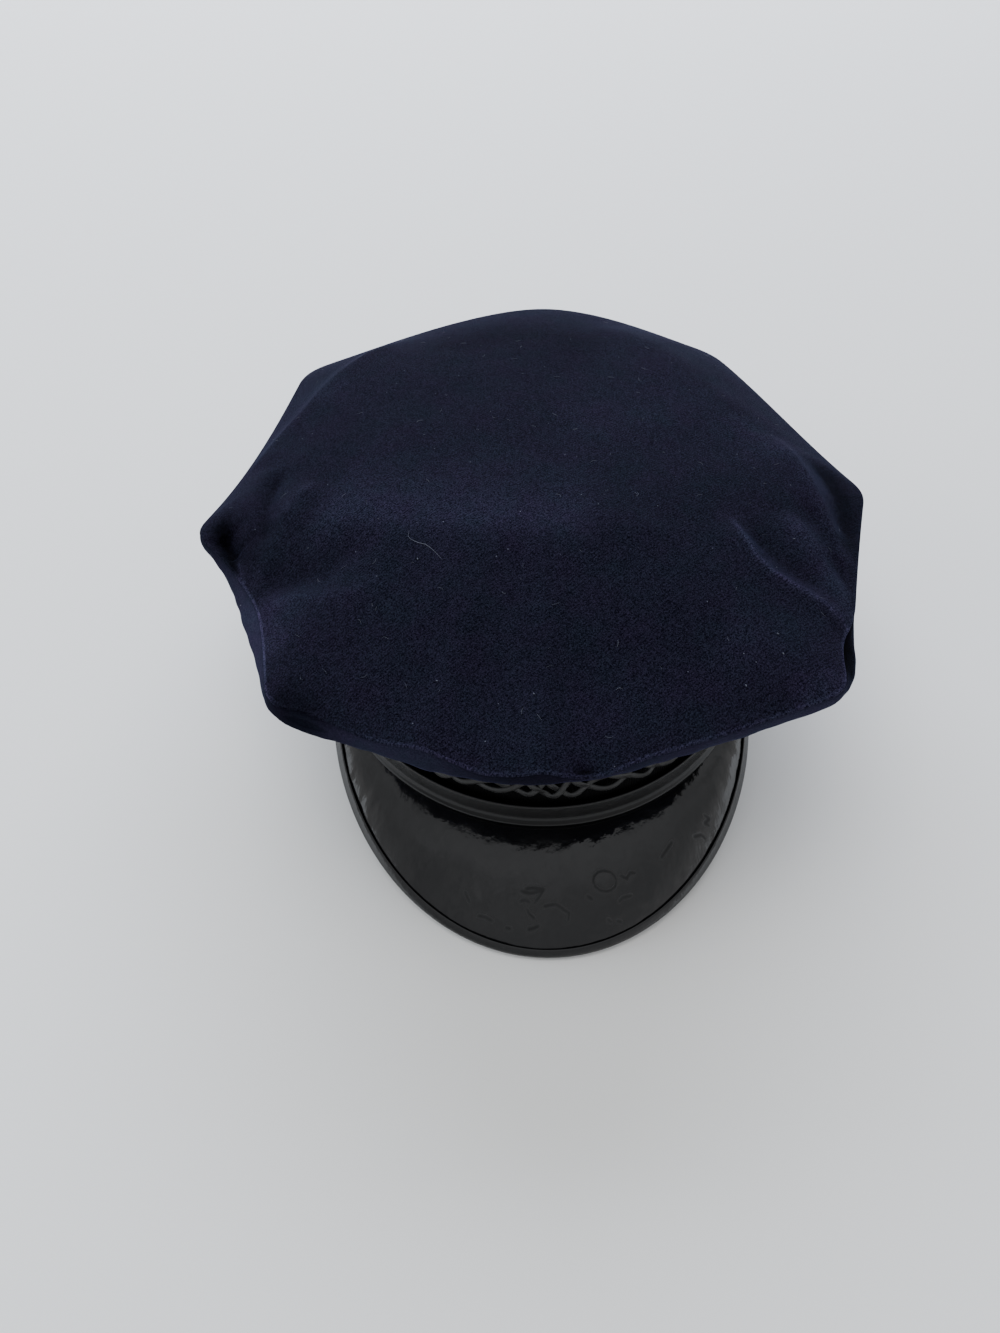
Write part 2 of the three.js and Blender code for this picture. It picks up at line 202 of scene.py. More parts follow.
# %% Paint the sky
SKY_LOW = (0.30, 0.31, 0.32, 1)
SKY_HIGH = (0.70, 0.71, 0.73, 1)
SKY_HORIZON = (0.70, 0.70, 0.71, 1)
HORIZON_TOP = 0.45
DIM_QUARTER = (-0.6, -0.8, 0)
DIM_LIGHT = 0.25
CLOUDS = 0.7


def add_node(finish, kind, output, inputs=None, **settings):
    """Adds a shader node to a finish, with its settings and inputs, and returns one of its outputs."""
    node = finish.node_tree.nodes.new("ShaderNode" + kind)
    for key, value in settings.items():
        setattr(node, key, value)
    set_inputs(finish.node_tree, node, inputs or {})
    return node.outputs[output]


def mixed(finish, share, first, second, **settings):
    """Goes from a first colour to a second one by a share."""
    return add_node(finish, "MixRGB", "Color", {"Fac": share, "Color1": first, "Color2": second}, **settings)


def reckoned(finish, operation, *numbers, **settings):
    """The result of an operation such as MULTIPLY on two or three numbers."""
    return add_node(finish, "Math", "Value", dict(enumerate(numbers)), operation=operation, **settings)


def fitted(finish, value, low, high, to_low=0.0, to_high=1.0, **settings):
    """Carries a value over from the range low to high to another range, and keeps it inside."""
    ends = {"Value": value, "From Min": low, "From Max": high, "To Min": to_low, "To Max": to_high}
    return add_node(finish, "MapRange", "Result", ends, **settings)


def noise(finish, spot, scale, detail, **inputs):
    """Soft noise from 0 to 1 over a pattern, with about scale bumps to its unit."""
    return add_node(finish, "TexNoise", "Fac", {"Vector": spot, "Scale": scale, "Detail": detail, **inputs})


world = bpy.data.worlds.new("studio")
world.use_nodes = True
toward = add_node(world, "TexCoord", "Generated")
rise = add_node(world, "SeparateXYZ", "Z", {"Vector": toward})
low = fitted(world, rise, 0.0, HORIZON_TOP, 1.0, 0.0, interpolation_type="SMOOTHSTEP")
aside = add_node(world, "VectorMath", "Value", {0: toward, 1: DIM_QUARTER}, operation="DOT_PRODUCT")
dim = fitted(
    world, aside, low=0.5, high=0.95, to_low=1.0, to_high=DIM_LIGHT, interpolation_type="SMOOTHSTEP"
)
low = reckoned(world, "MULTIPLY", low, dim)
cloud = noise(world, toward, scale=7.0, detail=5.0)
cloud = fitted(world, cloud, 0.0, 1.0, -CLOUDS, CLOUDS)
rise = reckoned(world, "ADD", rise, cloud, use_clamp=True)
sky = mixed(world, rise, SKY_LOW, SKY_HIGH)
sky = mixed(world, low, sky, SKY_HORIZON)
set_inputs(world.node_tree, world.node_tree.nodes["Background"], {"Color": sky})
bpy.context.scene.world = world
print("sky nodes:", len(world.node_tree.nodes))

# %% [markdown]
# ## One way to make every piece
# Each piece is a grid of points: sections along a path, and the same number of points round each section.
# Where a section closes on itself, or the path comes back to its start, the first points are repeated at the
# end, so that the pattern on the surface can run on without a jump. The repeated points are then merged.

# %% Turn grids into pieces
MERGED_WITHIN = 1e-7


def make_piece(name, points, pattern, node, capped=False, values=None):
    """An object from a grid of points on the head's level, or from several grids at once. Neighbours in a
    grid share a face. pattern has each point's place on the cloth, in metres, and values holds further
    numbers for each point. capped closes each end section with a face. What would reach under the table is
    pressed flat. The faces are turned round where the volume inside them comes out negative."""
    index = np.arange(points[..., 0].size).reshape(points.shape[:-1])
    corners = (index[..., :-1, :-1], index[..., 1:, :-1], index[..., 1:, 1:], index[..., :-1, 1:])
    quads = np.stack(corners, -1).reshape(-1, 4)
    vertices = on_table(points.reshape(-1, 3))
    vertices[:, 2] = np.maximum(vertices[:, 2], 0)
    a, b, c, d = (vertices[quads[:, k]] for k in range(4))
    inside_out = np.sum(a * (np.cross(b, c) + np.cross(c, d))) < 0
    faces = quads.tolist()
    if capped:
        faces += [index[0, :-1].tolist(), index[-1, -2::-1].tolist()]
    if inside_out:
        faces = [face[::-1] for face in faces]
    mesh = bpy.data.meshes.new(name)
    mesh.from_pydata(vertices.tolist(), [], faces)
    layer = mesh.uv_layers.new(name="pattern")
    order = list(chain.from_iterable(faces))
    layer.uv.foreach_set("vector", pattern.reshape(-1, 2)[order].astype(np.float32).ravel())
    for key, numbers in (values or {}).items():
        attribute = mesh.attributes.new(key, "FLOAT", "POINT")
        attribute.data.foreach_set("value", numbers.astype(np.float32).ravel())
    work = bmesh.new()
    work.from_mesh(mesh)
    bmesh.ops.remove_doubles(work, verts=work.verts, dist=MERGED_WITHIN)
    work.to_mesh(mesh)
    work.free()
    mesh.shade_smooth()
    piece = bpy.data.objects.new(name, mesh)
    bpy.context.scene.collection.objects.link(piece)
    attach(piece, "root")
    if node:
        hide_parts(node)
    print(name, "has", len(mesh.polygons), "faces")
    return piece


# %% [markdown]
# ## The crown's outline
# The crown's top is one piece of cloth with eight points, some sharp and some worn round. A table gives each
# point's direction from the front, its reach, the height of the edge there, how far it is rounded, how the
# side that follows bows out, how late the top turns down towards it, and how deep the cloth side hangs. A
# place on the outline is counted in points, so 2.5 is halfway from the third point to the fourth.

# %% The crown's points and edge
CROWN_POINTS = {
    "azimuth": [-2.5, 45.5, 95.5, 143.5, 179.5, 226, 272.5, 317.5],
    "reach": [141.5, 146.3, 138, 147.3, 148.6, 149.5, 143.4, 149.6],
    "height": [68.5, 70.5, 72.5, 81.3, 91.3, 83, 71.5, 67],
    "soft": [0.23, 0.07, 0.06, 0.08, 0.14, 0.085, 0.06, 0.16],
    "bow": [1, -1, 0, 8.2, 6, -4.5, -8.5, -2],
    "fall": [1.9, 2.6, 3.2, 4, 4, 5, 3.6, 2.4],
    "belly": [7.5, 12, 12, 13, 14, 13, 10, 6],
}
POINT_COUNT = 8
AVERAGED_OVER = np.linspace(-1, 1, 9)


def ease(share):
    """Goes from 0 to 1 with level ends, as 3t^2 - 2t^3, and stays there."""
    share = np.clip(share, 0, 1)
    return share * share * (3 - 2 * share)


def unit(vectors):
    """Vectors of length one in the same directions."""
    return vectors / np.linalg.norm(vectors, axis=-1, keepdims=True)


def crown_column(place, column):
    """A column of the table at places round the crown: eased from each point to the next."""
    value = np.array(CROWN_POINTS[column], float)
    start = np.floor(place).astype(int)
    here = value[start % POINT_COUNT]
    return here + (value[(start + 1) % POINT_COUNT] - here) * ease(place - start)


def sharp_outline(place):
    """The plan outline with sharp points: a straight side from each point to the next, moved outwards by its
    bow times 4t(1 - t)."""
    turn = np.radians(CROWN_POINTS["azimuth"])
    reach = np.array(CROWN_POINTS["reach"], float)
    corner = np.stack((reach * np.sin(turn), -reach * np.cos(turn)), -1)
    start = np.floor(place).astype(int)
    along = (place - start)[..., None]
    here = corner[start % POINT_COUNT]
    run = corner[(start + 1) % POINT_COUNT] - here
    outward = unit(np.stack((run[..., 1], -run[..., 0]), -1))
    bow = np.array(CROWN_POINTS["bow"], float)[start % POINT_COUNT][..., None]
    return here + along * run + outward * bow * 4 * along * (1 - along)


def crown_edge(place, spread=0):
    """The crown's edge: the sharp outline averaged over a short stretch, which spread makes longer, at the
    height from the table."""
    soft = crown_column(place, "soft") + spread
    plan = sum(sharp_outline(place + share * soft) for share in AVERAGED_OVER) / len(AVERAGED_OVER)
    return np.concatenate((plan, crown_column(place, "height")[..., None]), -1)


print("front of the crown's edge:", crown_edge(np.array([0.0]))[0].round(1), "mm")

# %% [markdown]
# The top is sewn to the side along this edge, but the seam is pulled in, lifted or let down as it goes
# round. A second table has rows of a place, the way inward and upward there, how far the side bulges and
# droops below it, how strong a painted highlight along the edge is, and the painted light and shade of the
# side. Two puckers lift the front.

# %% The crown's seam
SEAM_COLUMNS = ("place", "inward", "upward", "bulge", "droop", "edge_highlight", "shade")
# The last two columns are painted into the cloth's colour: a highlight along the top's edge, and light and
# shade on the side below it.
SEAM_ROWS = [
    (0.00, 0.3, 0.4, 0.0, 0.0, 0.7, -0.2),
    (0.08, 0.0, -1.8, 0.0, 0.0, 0.7, -0.1),
    (0.14, -0.3, -3.0, 0.0, 0.0, 0.6, 0.2),
    (0.20, -0.3, -3.2, 0.0, 0.5, 0.7, 0.5),
    (0.25, 0.0, -2.6, 0.0, 0.5, 1.0, 0.7),
    (0.30, 0.2, -1.2, 0.0, 0.5, 1.2, 0.8),
    (0.36, 0.0, -1.0, 0.0, 0.0, 1.2, 0.9),
    (0.45, -0.4, -0.4, 0.0, 0.0, 1.0, 0.9),
    (0.60, -1.0, 0.2, 0.0, 0.0, 0.8, 1.1),
    (0.90, -0.2, 0.4, 0.0, 0.0, 0.8, 1.5),
    (1.00, 1.0, 0.3, -0.6, 0.0, 1.0, 1.0),
    (1.06, 3.0, 0.2, 1.0, 0.0, 1.4, -0.8),
    (1.12, 4.0, 0.0, 3.6, 0.0, 1.6, -0.92),
    (1.20, 4.2, 0.0, 3.6, 0.0, 1.4, -0.92),
    (1.27, 1.5, 0.0, 2.0, 0.0, 1.0, -0.6),
    (1.35, 0.0, 0.0, 0.5, 0.0, 0.4, 0.0),
    (1.50, 0.0, 0.0, 0.0, 0.0, 0.2, 0.0),
    (5.90, 0.0, 0.0, 0.0, 0.0, 0.2, 0.0),
    (6.15, 2.0, 0.0, 0.0, 0.0, 0.2, 0.2),
    (6.30, 3.0, 0.0, 1.0, 0.0, 0.6, 0.8),
    (6.50, 4.4, 0.0, 3.2, 0.0, 1.8, 1.6),
    (6.75, 2.0, 0.5, 2.2, 0.0, 2.2, 1.3),
    (6.90, 1.2, 0.6, 0.8, 0.0, 1.2, 0.2),
    (6.98, 3.0, 0.8, 0.0, -2.0, 0.0, -0.25),
    (7.06, 7.0, 1.4, -0.5, -4.0, 0.0, -0.35),
    (7.15, 7.0, 1.4, -0.5, -4.5, 0.0, -0.25),
    (7.25, 4.5, 1.2, 0.0, -3.0, 0.0, 0.6),
    (7.35, 2.0, 0.8, 0.0, 0.0, 0.5, 1.0),
    (7.45, 1.0, 0.6, 0.0, 3.0, 0.8, 1.0),
    (7.60, 1.0, 0.2, 0.0, 7.0, 1.0, 0.8),
    (7.70, 0.6, -0.6, 0.0, 5.0, 1.0, 0.4),
    (7.78, -0.2, -2.0, 0.0, 3.0, 0.8, 0.0),
    (7.90, 0.0, -0.9, 0.0, 2.0, 0.7, -0.25),
]
SEAM = dict(zip(SEAM_COLUMNS, np.transpose(SEAM_ROWS)))
SEAM_EASE = 0.04
CENTRE_Y = 4
PUCKERS = [
    {"degrees": -2.1, "reach": 2.2, "up": 0.9},
    {"degrees": -20.5, "reach": 3.5, "up": 1.6},
]


def seam_column(place, column):
    """A column of the seam's table at places round the crown, averaged over a short stretch."""
    shifts = SEAM_EASE * AVERAGED_OVER
    read = [np.interp(place + s, SEAM["place"], SEAM[column], period=POINT_COUNT) for s in shifts]
    return sum(read) / len(read)


def seam_line(place, spread=0):
    """Where the top is sewn to the side: the crown's edge, moved towards the middle and up by the seam's
    table, and lifted at each pucker by its height times exp(-(turn / reach)^2)."""
    edge = crown_edge(place, spread)
    plan = unit(edge[..., :2] - np.array([0, CENTRE_Y]))
    turn = np.degrees(np.arctan2(edge[..., 0], -edge[..., 1]))
    lift = seam_column(place, "upward")
    for pucker in PUCKERS:
        lift = lift + pucker["up"] * np.exp(-(((turn - pucker["degrees"]) / pucker["reach"]) ** 2))
    inward = seam_column(place, "inward")[..., None]
    return edge + np.concatenate((-plan * inward, lift[..., None]), -1)


print("front of the crown's seam:", seam_line(np.array([0.0]))[0].round(1), "mm")

# %% [markdown]
# ## Folds and dents
# Cloth that is only sewn at its edge folds where it is pushed: a sharp crest with a furrow beside it, a soft
# ridge where a point droops, a dent. A cloth simulation would find folds of its own, so these are listed:
# each follows a short path, seen from above.

# %% The paths of the folds
FRONT_BREAK = [(-96, -19), (-77, -27), (-53, -36), (-25, -41), (5, -42), (34, -41), (62, -34)]
FRONT_DIP = [(-75, -90), (0, -104), (75, -90)]
FRONT_HOLE = [(6.5, -134.6), (10.5, -134.2)]
RIGHT_CREST = [(70, -26), (71.7, -31.5), (74, -40.5), (77.6, -50.5), (83.1, -57), (90.3, -61.3),
               (97.5, -64.5), (103.8, -67.5), (108.3, -70), (112, -73)]
RIGHT_FURROW = [(76, -29), (81.5, -38.6), (86.7, -45), (93, -50.5), (101, -55), (107, -58)]
RIGHT_RIDGE = [(99, 38), (104.6, 18.7), (107.5, 7.5), (110, -2.3), (111.5, -11.5), (113, -21), (114.5, -32),
               (115.5, -44)]
RIGHT_VALLEY = [(103, -10), (106, -17), (108.5, -25), (111, -33), (113, -44), (114, -54)]
RIGHT_LOWER_RIDGE = [(94, -18), (97.5, -26.5), (101.5, -34.5), (105.2, -42.5), (108.8, -51), (111.5, -60),
                     (112.5, -66)]
RIGHT_FACE = [(115, 27), (119.5, 13), (121.5, 0), (121, -14), (120, -27)]
LEFT_HOLLOW = [(-129.5, -11.5), (-127, -17.5), (-124, -24.5)]
LEFT_RIDGE = [(-110, -52), (-102.4, -54), (-94.1, -57), (-83.9, -61), (-76.2, -62), (-67, -60.3), (-55, -56)]
LEFT_DENT = [(-111, -40), (-96, -45), (-84, -46), (-76, -40), (-60, -41)]
LEFT_FURROW = [(-108, 18), (-109.5, 7), (-111.6, -7), (-110.7, -17), (-107, -27)]
LEFT_FURROW_RIDGE = [(-105.5, -20), (-101, -15.5), (-96, -8), (-90, 2)]
BACK_LEFT_CREASE = [(-50, 124), (-74.8, 98.8), (-87.7, 79.2), (-103, 53.6), (-117, 37.4), (-124.2, 28)]
BACK_RIGHT_CREASE = [(22, 126), (41.6, 114.2), (58, 93.3), (72.5, 66), (83.9, 52.9), (98, 40)]


def path_steps(points):
    """The lengths of a path's steps, and how far along the path each of its points lies."""
    steps = np.linalg.norm(np.diff(points, axis=0), axis=-1)
    return steps, np.concatenate(([0], np.cumsum(steps)))


print("the front break is", path_steps(np.array(FRONT_BREAK))[1][-1].round(), "mm long")

# %% [markdown]
# Each fold is a row of a table: its path, how far it rises, how fast that falls off to the left and to the
# right of someone who walks along it, how round its crest is, and how gently it begins and ends.

# %% The folds of the top
# Path, rise, reach to the left and to the right, roundness, and the two fades.
FOLDS = [
    (FRONT_BREAK, 3.2, 24, 10, 7, (30, 30)),
    (FRONT_DIP, -2.2, 14, 14, 14, (30, 30)),
    (RIGHT_CREST, 3.8, 3.2, 10, 1.4, (18, 0)),
    (RIGHT_FURROW, -2.7, 8, 3, 3, (14, 10)),
    (RIGHT_RIDGE, 3.4, 4.5, 8, 2, (25, 10)),
    (RIGHT_VALLEY, -2.1, 3, 3.5, 2, (12, 10)),
    (RIGHT_LOWER_RIDGE, 2.6, 3.5, 8, 3, (14, 0)),
    (RIGHT_FACE, -2.8, 6, 3, 4.5, (14, 12)),
    (FRONT_HOLE, -3.5, 1.2, 1.2, 1, (1, 1)),
    (LEFT_HOLLOW, -10, 2.6, 2.6, 4, (1, 1)),
    (LEFT_RIDGE, 2.2, 4, 11, 2, (0, 25)),
    (LEFT_DENT, -3.5, 7, 6, 6, (8, 16)),
    (LEFT_FURROW, -3.6, 3.5, 4, 3, (12, 10)),
    (LEFT_FURROW_RIDGE, 2.2, 4, 5, 3, (8, 12)),
    (BACK_LEFT_CREASE, 2.4, 12, 4, 2, (35, 10)),
    (BACK_RIGHT_CREASE, 1.8, 9, 12, 9, (25, 25)),
]
LEAST_FADE = 1


def fold_lift(x, y, folds):
    """The folds' total rise at plan points. At a distance d from its path a fold has its rise times
    exp(-(sqrt(d^2 + roundness^2) - roundness) / reach). The reach differs on the path's two sides, and the
    fold is eased in and out over a fade at each end of the path."""
    total = np.zeros_like(x)
    for path, rise, left, right, roundness, (begin, end) in folds:
        path = np.array(path, float)
        nearest = np.full_like(x, np.inf)
        side = np.zeros_like(x)
        walked = np.zeros_like(x)
        lengths, before = path_steps(path)
        for start, run, length, done in zip(path[:-1], np.diff(path, axis=0), lengths, before):
            dx = x - start[0]
            dy = y - start[1]
            along = np.clip((dx * run[0] + dy * run[1]) / length**2, 0, 1)
            away = np.hypot(dx - along * run[0], dy - along * run[1])
            closer = away < nearest
            side = np.where(closer, run[0] * dy - run[1] * dx, side)
            walked = np.where(closer, done + along * length, walked)
            nearest = np.minimum(nearest, away)
        reach = np.where(side > 0, left, right)
        fall = np.exp(-(np.hypot(nearest, roundness) - roundness) / reach)
        fall *= ease((walked + LEAST_FADE) / (begin + LEAST_FADE))
        fall *= ease((before[-1] - walked + LEAST_FADE) / (end + LEAST_FADE))
        total += rise * fall
    return total


print("folds of the top:", len(FOLDS))

# %% [markdown]
# The light and shade of the folds is painted into the cloth's colour as well: paler along a crest, darker
# deep in a furrow, where light hardly comes. So the folds also have a painted shade: a second table of the
# same kind, in which a rise of 1 doubles the cloth's brightness and one of -1 takes it all away. Stretches
# of plain cloth get painted light or shade too, along paths of their own, and the sewn edge gets a painted
# highlight, more in some places.

# %% The painted light and shade of the folds
RIGHT_SHADOW = [(117, 26), (122, 12), (123.5, 2), (122.5, -9), (120.5, -22), (117, -34)]
RIGHT_CORNER = [(80, -109), (92, -104), (100, -98), (102, -92)]
RIGHT_LIGHT = [(78, 44), (92, 28), (101, 12)]
CORNER_LIGHT = [(103, -72), (88, -82), (74, -88), (58, -82)]
LEFT_SHADOW = [(-130, -9), (-127.5, -17.5), (-125, -24.5), (-123.8, -30)]
LEFT_CORNER = [(-99, -97), (-93, -102.5), (-87, -106.5), (-79, -111)]
LEFT_TIP_SHADOW = [(-121, -17), (-115, -26), (-110, -34)]
LEFT_TIP_LIGHT = [(-121, -27), (-119, -35), (-117.5, -43)]
LEFT_LIGHT = [(-107, -53), (-104, -68), (-97, -82)]
BREAK_LIGHT = [(-92, -18), (-72, -25), (-40, -31), (-10, -33), (24, -34)]
MIDDLE_LIGHT = [(0, 28), (30, 32), (60, 45), (82, 58)]
BACK_LIGHT = [(-85, 75), (-100, 58)]
BACK_RIM = [(-60, 100), (-5, 108), (40, 98)]
# Painted light and shade: path, rise in brightness, reach to the left and to the right, roundness, and the
# two fades.
SHADES = [
    (RIGHT_CREST, 1.5, 0.5, 0.9, 0.5, (14, 0)),
    (RIGHT_FURROW, -0.12, 5, 2, 4, (10, 10)),
    (RIGHT_RIDGE, 0.4, 1.2, 5, 1.5, (25, 10)),
    (RIGHT_VALLEY, -0.18, 2, 2.5, 2, (6, 8)),
    (RIGHT_LOWER_RIDGE, 0.7, 1.5, 5.5, 2.5, (12, 0)),
    (RIGHT_SHADOW, -0.6, 5, 2.5, 4.5, (12, 10)),
    (RIGHT_CORNER, 0.6, 4, 4, 4, (8, 6)),
    (FRONT_HOLE, -0.85, 0.8, 0.8, 1.5, (0, 0)),
    (RIGHT_LIGHT, 0.3, 8, 12, 10, (10, 10)),
    (LEFT_SHADOW, -0.6, 1.2, 1.2, 9, (0, 0)),
    (LEFT_SHADOW, -0.22, 3, 3, 9, (0, 0)),
    (LEFT_CORNER, -0.45, 4, 4, 6, (4, 8)),
    (LEFT_TIP_SHADOW, -0.22, 4, 3, 4, (4, 8)),
    (LEFT_TIP_LIGHT, 0.9, 0.5, 0.5, 0.6, (2, 3)),
    (LEFT_LIGHT, 0.6, 5, 5, 8, (2, 10)),
    (BREAK_LIGHT, 0.55, 18, 8, 7, (10, 20)),
    (MIDDLE_LIGHT, 0.2, 15, 15, 15, (20, 10)),
    (CORNER_LIGHT, 0.22, 9, 9, 8, (4, 8)),
    (BACK_LIGHT, 0.3, 6, 6, 8, (6, 6)),
    (BACK_RIM, -0.28, 8, 10, 8, (20, 20)),
    (LEFT_RIDGE, 0.3, 1.5, 3.5, 1.5, (0, 25)),
    (LEFT_DENT, -0.15, 4, 4, 6, (6, 12)),
    (LEFT_FURROW, -0.3, 2, 2.5, 2, (10, 8)),
    (LEFT_FURROW_RIDGE, 0.25, 2.5, 3, 2, (6, 8)),
]
EDGE_HIGHLIGHT_WIDTH = 0.005


def top_shade(place, out, x, y):
    """The painted light and shade of the top: that of its folds, and the painted highlight along its edge,
    eased in over the end of the way out.
    """
    return fold_lift(x, y, SHADES) + seam_column(place, "edge_highlight") * ease(1 - (1 - out) / EDGE_HIGHLIGHT_WIDTH)


print("shades of the top:", len(SHADES))

# %% [markdown]
# ## The crown's top
# The top is nearly flat in the middle and turns down towards its edge, early at the front and late at the
# back. Its height is that of a gently sloping plane, minus the drop to the edge times the share of the way
# out, raised to the table's fall. Folds and a faint unevenness are added, and die away into the sewn edge.

# %% The top's shape
CREST = 98
CREST_SLOPE = 0.035
POINT_SPREAD = 0.8
FOLD_FADE = 20
WAVE_COUNT = 24
WAVE_LENGTHS = (0.7, 1.4)
SOFT_WAVES = [
    {"height": 0.4, "length": 52, "seed": 1},
    {"height": 0.04, "length": 16, "seed": 2},
]


def ripple(x, y, length, seed):
    """An even, aimless unevenness between about -1 and 1: the sum of plane waves of about one length that
    run in random directions, over twice the root of half their number."""
    draw = np.random.default_rng(seed)
    angle = draw.uniform(0, 2 * np.pi, WAVE_COUNT)
    number = 2 * np.pi / (length * draw.uniform(*WAVE_LENGTHS, WAVE_COUNT))
    phase = draw.uniform(0, 2 * np.pi, WAVE_COUNT)
    total = np.zeros_like(x)
    for k in range(WAVE_COUNT):
        total += np.sin(number[k] * (x * np.cos(angle[k]) + y * np.sin(angle[k])) + phase[k])
    return total / np.sqrt(WAVE_COUNT / 2) / 2


def waves_lift(x, y, waves):
    """The total rise of several ripples, each times its height."""
    return sum(wave["height"] * ripple(x, y, wave["length"], wave["seed"]) for wave in waves)


def crown_top(place, out):
    """A point of the top: the plan runs from the middle to the seam, and the height is as above. Towards the
    middle the points of the outline are spread wide, so that no ridge runs in from them."""
    edge = seam_line(place, POINT_SPREAD * (1 - out))
    x = out * edge[..., 0]
    y = CENTRE_Y + (edge[..., 1] - CENTRE_Y) * out
    drop = edge[..., 2] - CREST - CREST_SLOPE * edge[..., 1]
    z = CREST + CREST_SLOPE * y + drop * out ** crown_column(place, "fall")
    z += (fold_lift(x, y, FOLDS) + waves_lift(x, y, SOFT_WAVES)) * (1 - out**FOLD_FADE)
    return np.stack((x, y, z), -1)


print("height of the top's middle:", crown_top(np.array([0.0]), np.array([0.0]))[0, 2].round(1), "mm")

# %% [markdown]
# A sheet with no thickness would look like paper at its edge. So the grid runs from the middle out to the
# edge, rolls round it in a half circle, and comes back underneath as the cloth's own inner face.

# %% Make the crown's top
TOP_SECTIONS = 640
TOP_RINGS = 124
RING_CROWDING = 0.8
INNER_RINGS = 18
INNER_CROWDING = 0.35
CLOTH_WALL = 1.8
ROLL = 0.6
ROLL_POWER = 20
ROLL_TURNS = np.radians([30, 60, 90, 120, 150])
UPRIGHT = np.array([0, 0, 1])
TINY = 1e-9


def towards_edge(points):
    """Level directions from the top's middle out to points, of length one, and their distances."""
    run = points[..., :2] - np.array([0, CENTRE_Y])
    reach = np.linalg.norm(run, axis=-1, keepdims=True)
    flat = np.concatenate((run / np.maximum(reach, TINY), np.zeros_like(reach)), -1)
    return flat, reach


places = np.linspace(0, POINT_COUNT, TOP_SECTIONS + 1)
rings = np.linspace(0, 1, TOP_RINGS + 1) ** RING_CROWDING
place_grid, out_grid = np.meshgrid(places, rings, indexing="ij")
outer = crown_top(place_grid, out_grid)
outer_shade = top_shade(place_grid, out_grid, outer[..., 0], outer[..., 1])
outward, reach = towards_edge(outer)
outer -= outward * np.minimum(ROLL, reach) * out_grid[..., None] ** ROLL_POWER

rim = seam_line(places)[:, None, :]
outward, _ = towards_edge(rim)
turn = ROLL_TURNS[None, :, None]
rolled = rim - outward * ROLL - UPRIGHT * ROLL
rolled = rolled + ROLL * (outward * np.sin(turn) + UPRIGHT * np.cos(turn))
rolled_shade = np.repeat(outer_shade[:, -1:], len(ROLL_TURNS), 1)

rings = np.linspace(1, 0, INNER_RINGS + 1) ** INNER_CROWDING
place_grid, out_grid = np.meshgrid(places, rings, indexing="ij")
inner = crown_top(place_grid, out_grid)
outward, reach = towards_edge(inner)
inner -= outward * np.minimum(ROLL, reach)
inner[..., 2] -= CLOTH_WALL
inner[:, -1] = inner[0, -1]

grid = np.concatenate((outer, rolled, inner), 1)
# The shade attribute holds the top's painted light and shade; the inner face has none.
values = {"shade": np.concatenate((outer_shade, rolled_shade, np.zeros(inner.shape[:2])), 1)}
top_cloth = make_piece(
    "crown_top_cloth", grid, grid[..., :2] / METRE, "crown_top", values=values
)

# %% [markdown]
# ## The crown's side
# Under the edge a second piece of cloth hangs down, bellies a little and tucks in to the top of the band.
# Its section is a smooth curve led by four handles: the edge, the belly below it, a place out from the band
# and the band's own top. Near its top it is drawn over to the seam, and bulges where the seam is pushed in.

# %% The side's shape
HEAD_HALF_WIDTH = 84.6
HEAD_HALF_LENGTH = 100.8
BAND_WALL = 2.4
BAND_HEIGHT = 44
SEAM_GAP = 0.3
SIDE_BULGE = 0.15
TUCK_OUT = 16
TUCK_UP = 9
SEWN_UNDER = 0.15
SEWN_BELOW = 1.5 * ROLL
SHOULDER = 0.16
BULGE_END = 0.4


def band_oval(turn, off, z):
    """A point of the band's outer oval at a turn from the front, moved outwards by off."""
    x = (HEAD_HALF_WIDTH + BAND_WALL + off) * np.sin(turn)
    y = -(HEAD_HALF_LENGTH + BAND_WALL + off) * np.cos(turn)
    return np.stack(np.broadcast_arrays(x, y, z), -1)


def side_curve(place, share):
    """Points, runs and outward directions of the hanging side: a cubic Bezier curve over four handles."""
    edge = crown_edge(place)
    edge[..., 2] -= CLOTH_WALL + SEAM_GAP
    turn = np.arctan2(edge[..., 0] / HEAD_HALF_WIDTH, -edge[..., 1] / HEAD_HALF_LENGTH)
    foot = band_oval(turn, 0, np.full_like(turn, BAND_HEIGHT + SEAM_GAP))
    out = edge - foot
    out[..., 2] = 0
    out = unit(out)
    depth = (crown_column(place, "belly") + seam_column(place, "droop"))[..., None]
    belly = edge + out * SIDE_BULGE * depth - UPRIGHT * depth
    tuck = foot + out * TUCK_OUT + UPRIGHT * TUCK_UP
    t = share[..., None]
    s = 1 - t
    points = s**3 * edge + 3 * s * s * t * belly + 3 * s * t * t * tuck + t**3 * foot
    sewn = seam_line(place) - out * SEWN_UNDER
    sewn[..., 2] -= SEWN_BELOW
    points += (sewn - edge) * np.clip(1 - t / SHOULDER, 0, 1) ** 2
    bulge = seam_column(place, "bulge")[..., None]
    points += out * bulge * np.sin(np.pi * np.clip(t / BULGE_END, 0, 1))
    run = s * s * (belly - edge) + 2 * s * t * (tuck - belly) + t * t * (foot - tuck)
    return points, unit(run), out


def into_wall(run, out):
    """The direction from the outer face into the cloth: the run turned a quarter towards the inside."""
    slope = np.sum(run * out, -1, keepdims=True)
    return out * run[..., 2:] - UPRIGHT * slope


print("front of the band:", band_oval(0, 0, BAND_HEIGHT).round(1), "mm")

# %% [markdown]
# Sewing gathers the side slightly, so it ripples just under the seam. Its painted light and shade, from the
# seam's table, fades out downwards. The section is closed by an inner face, one cloth's thickness inside the
# outer one.

# %% Make the crown's side
SIDE_ROWS = 30
SIDE_INNER_ROWS = 10
SIDE_DEPTH = 60
GATHER = 0.35
GATHER_ROUND = 130
GATHER_LENGTH = 9
GATHER_REACH = 0.22
GATHER_GAIN = 8
GATHER_SEED = 3
SHADE_END = 0.95
SHADE_FADE = 0.5


def pattern_places(along, across):
    """A piece's pattern, from lengths along and across it that are spread over its grid."""
    return np.stack(np.broadcast_arrays(along, across), -1) / METRE


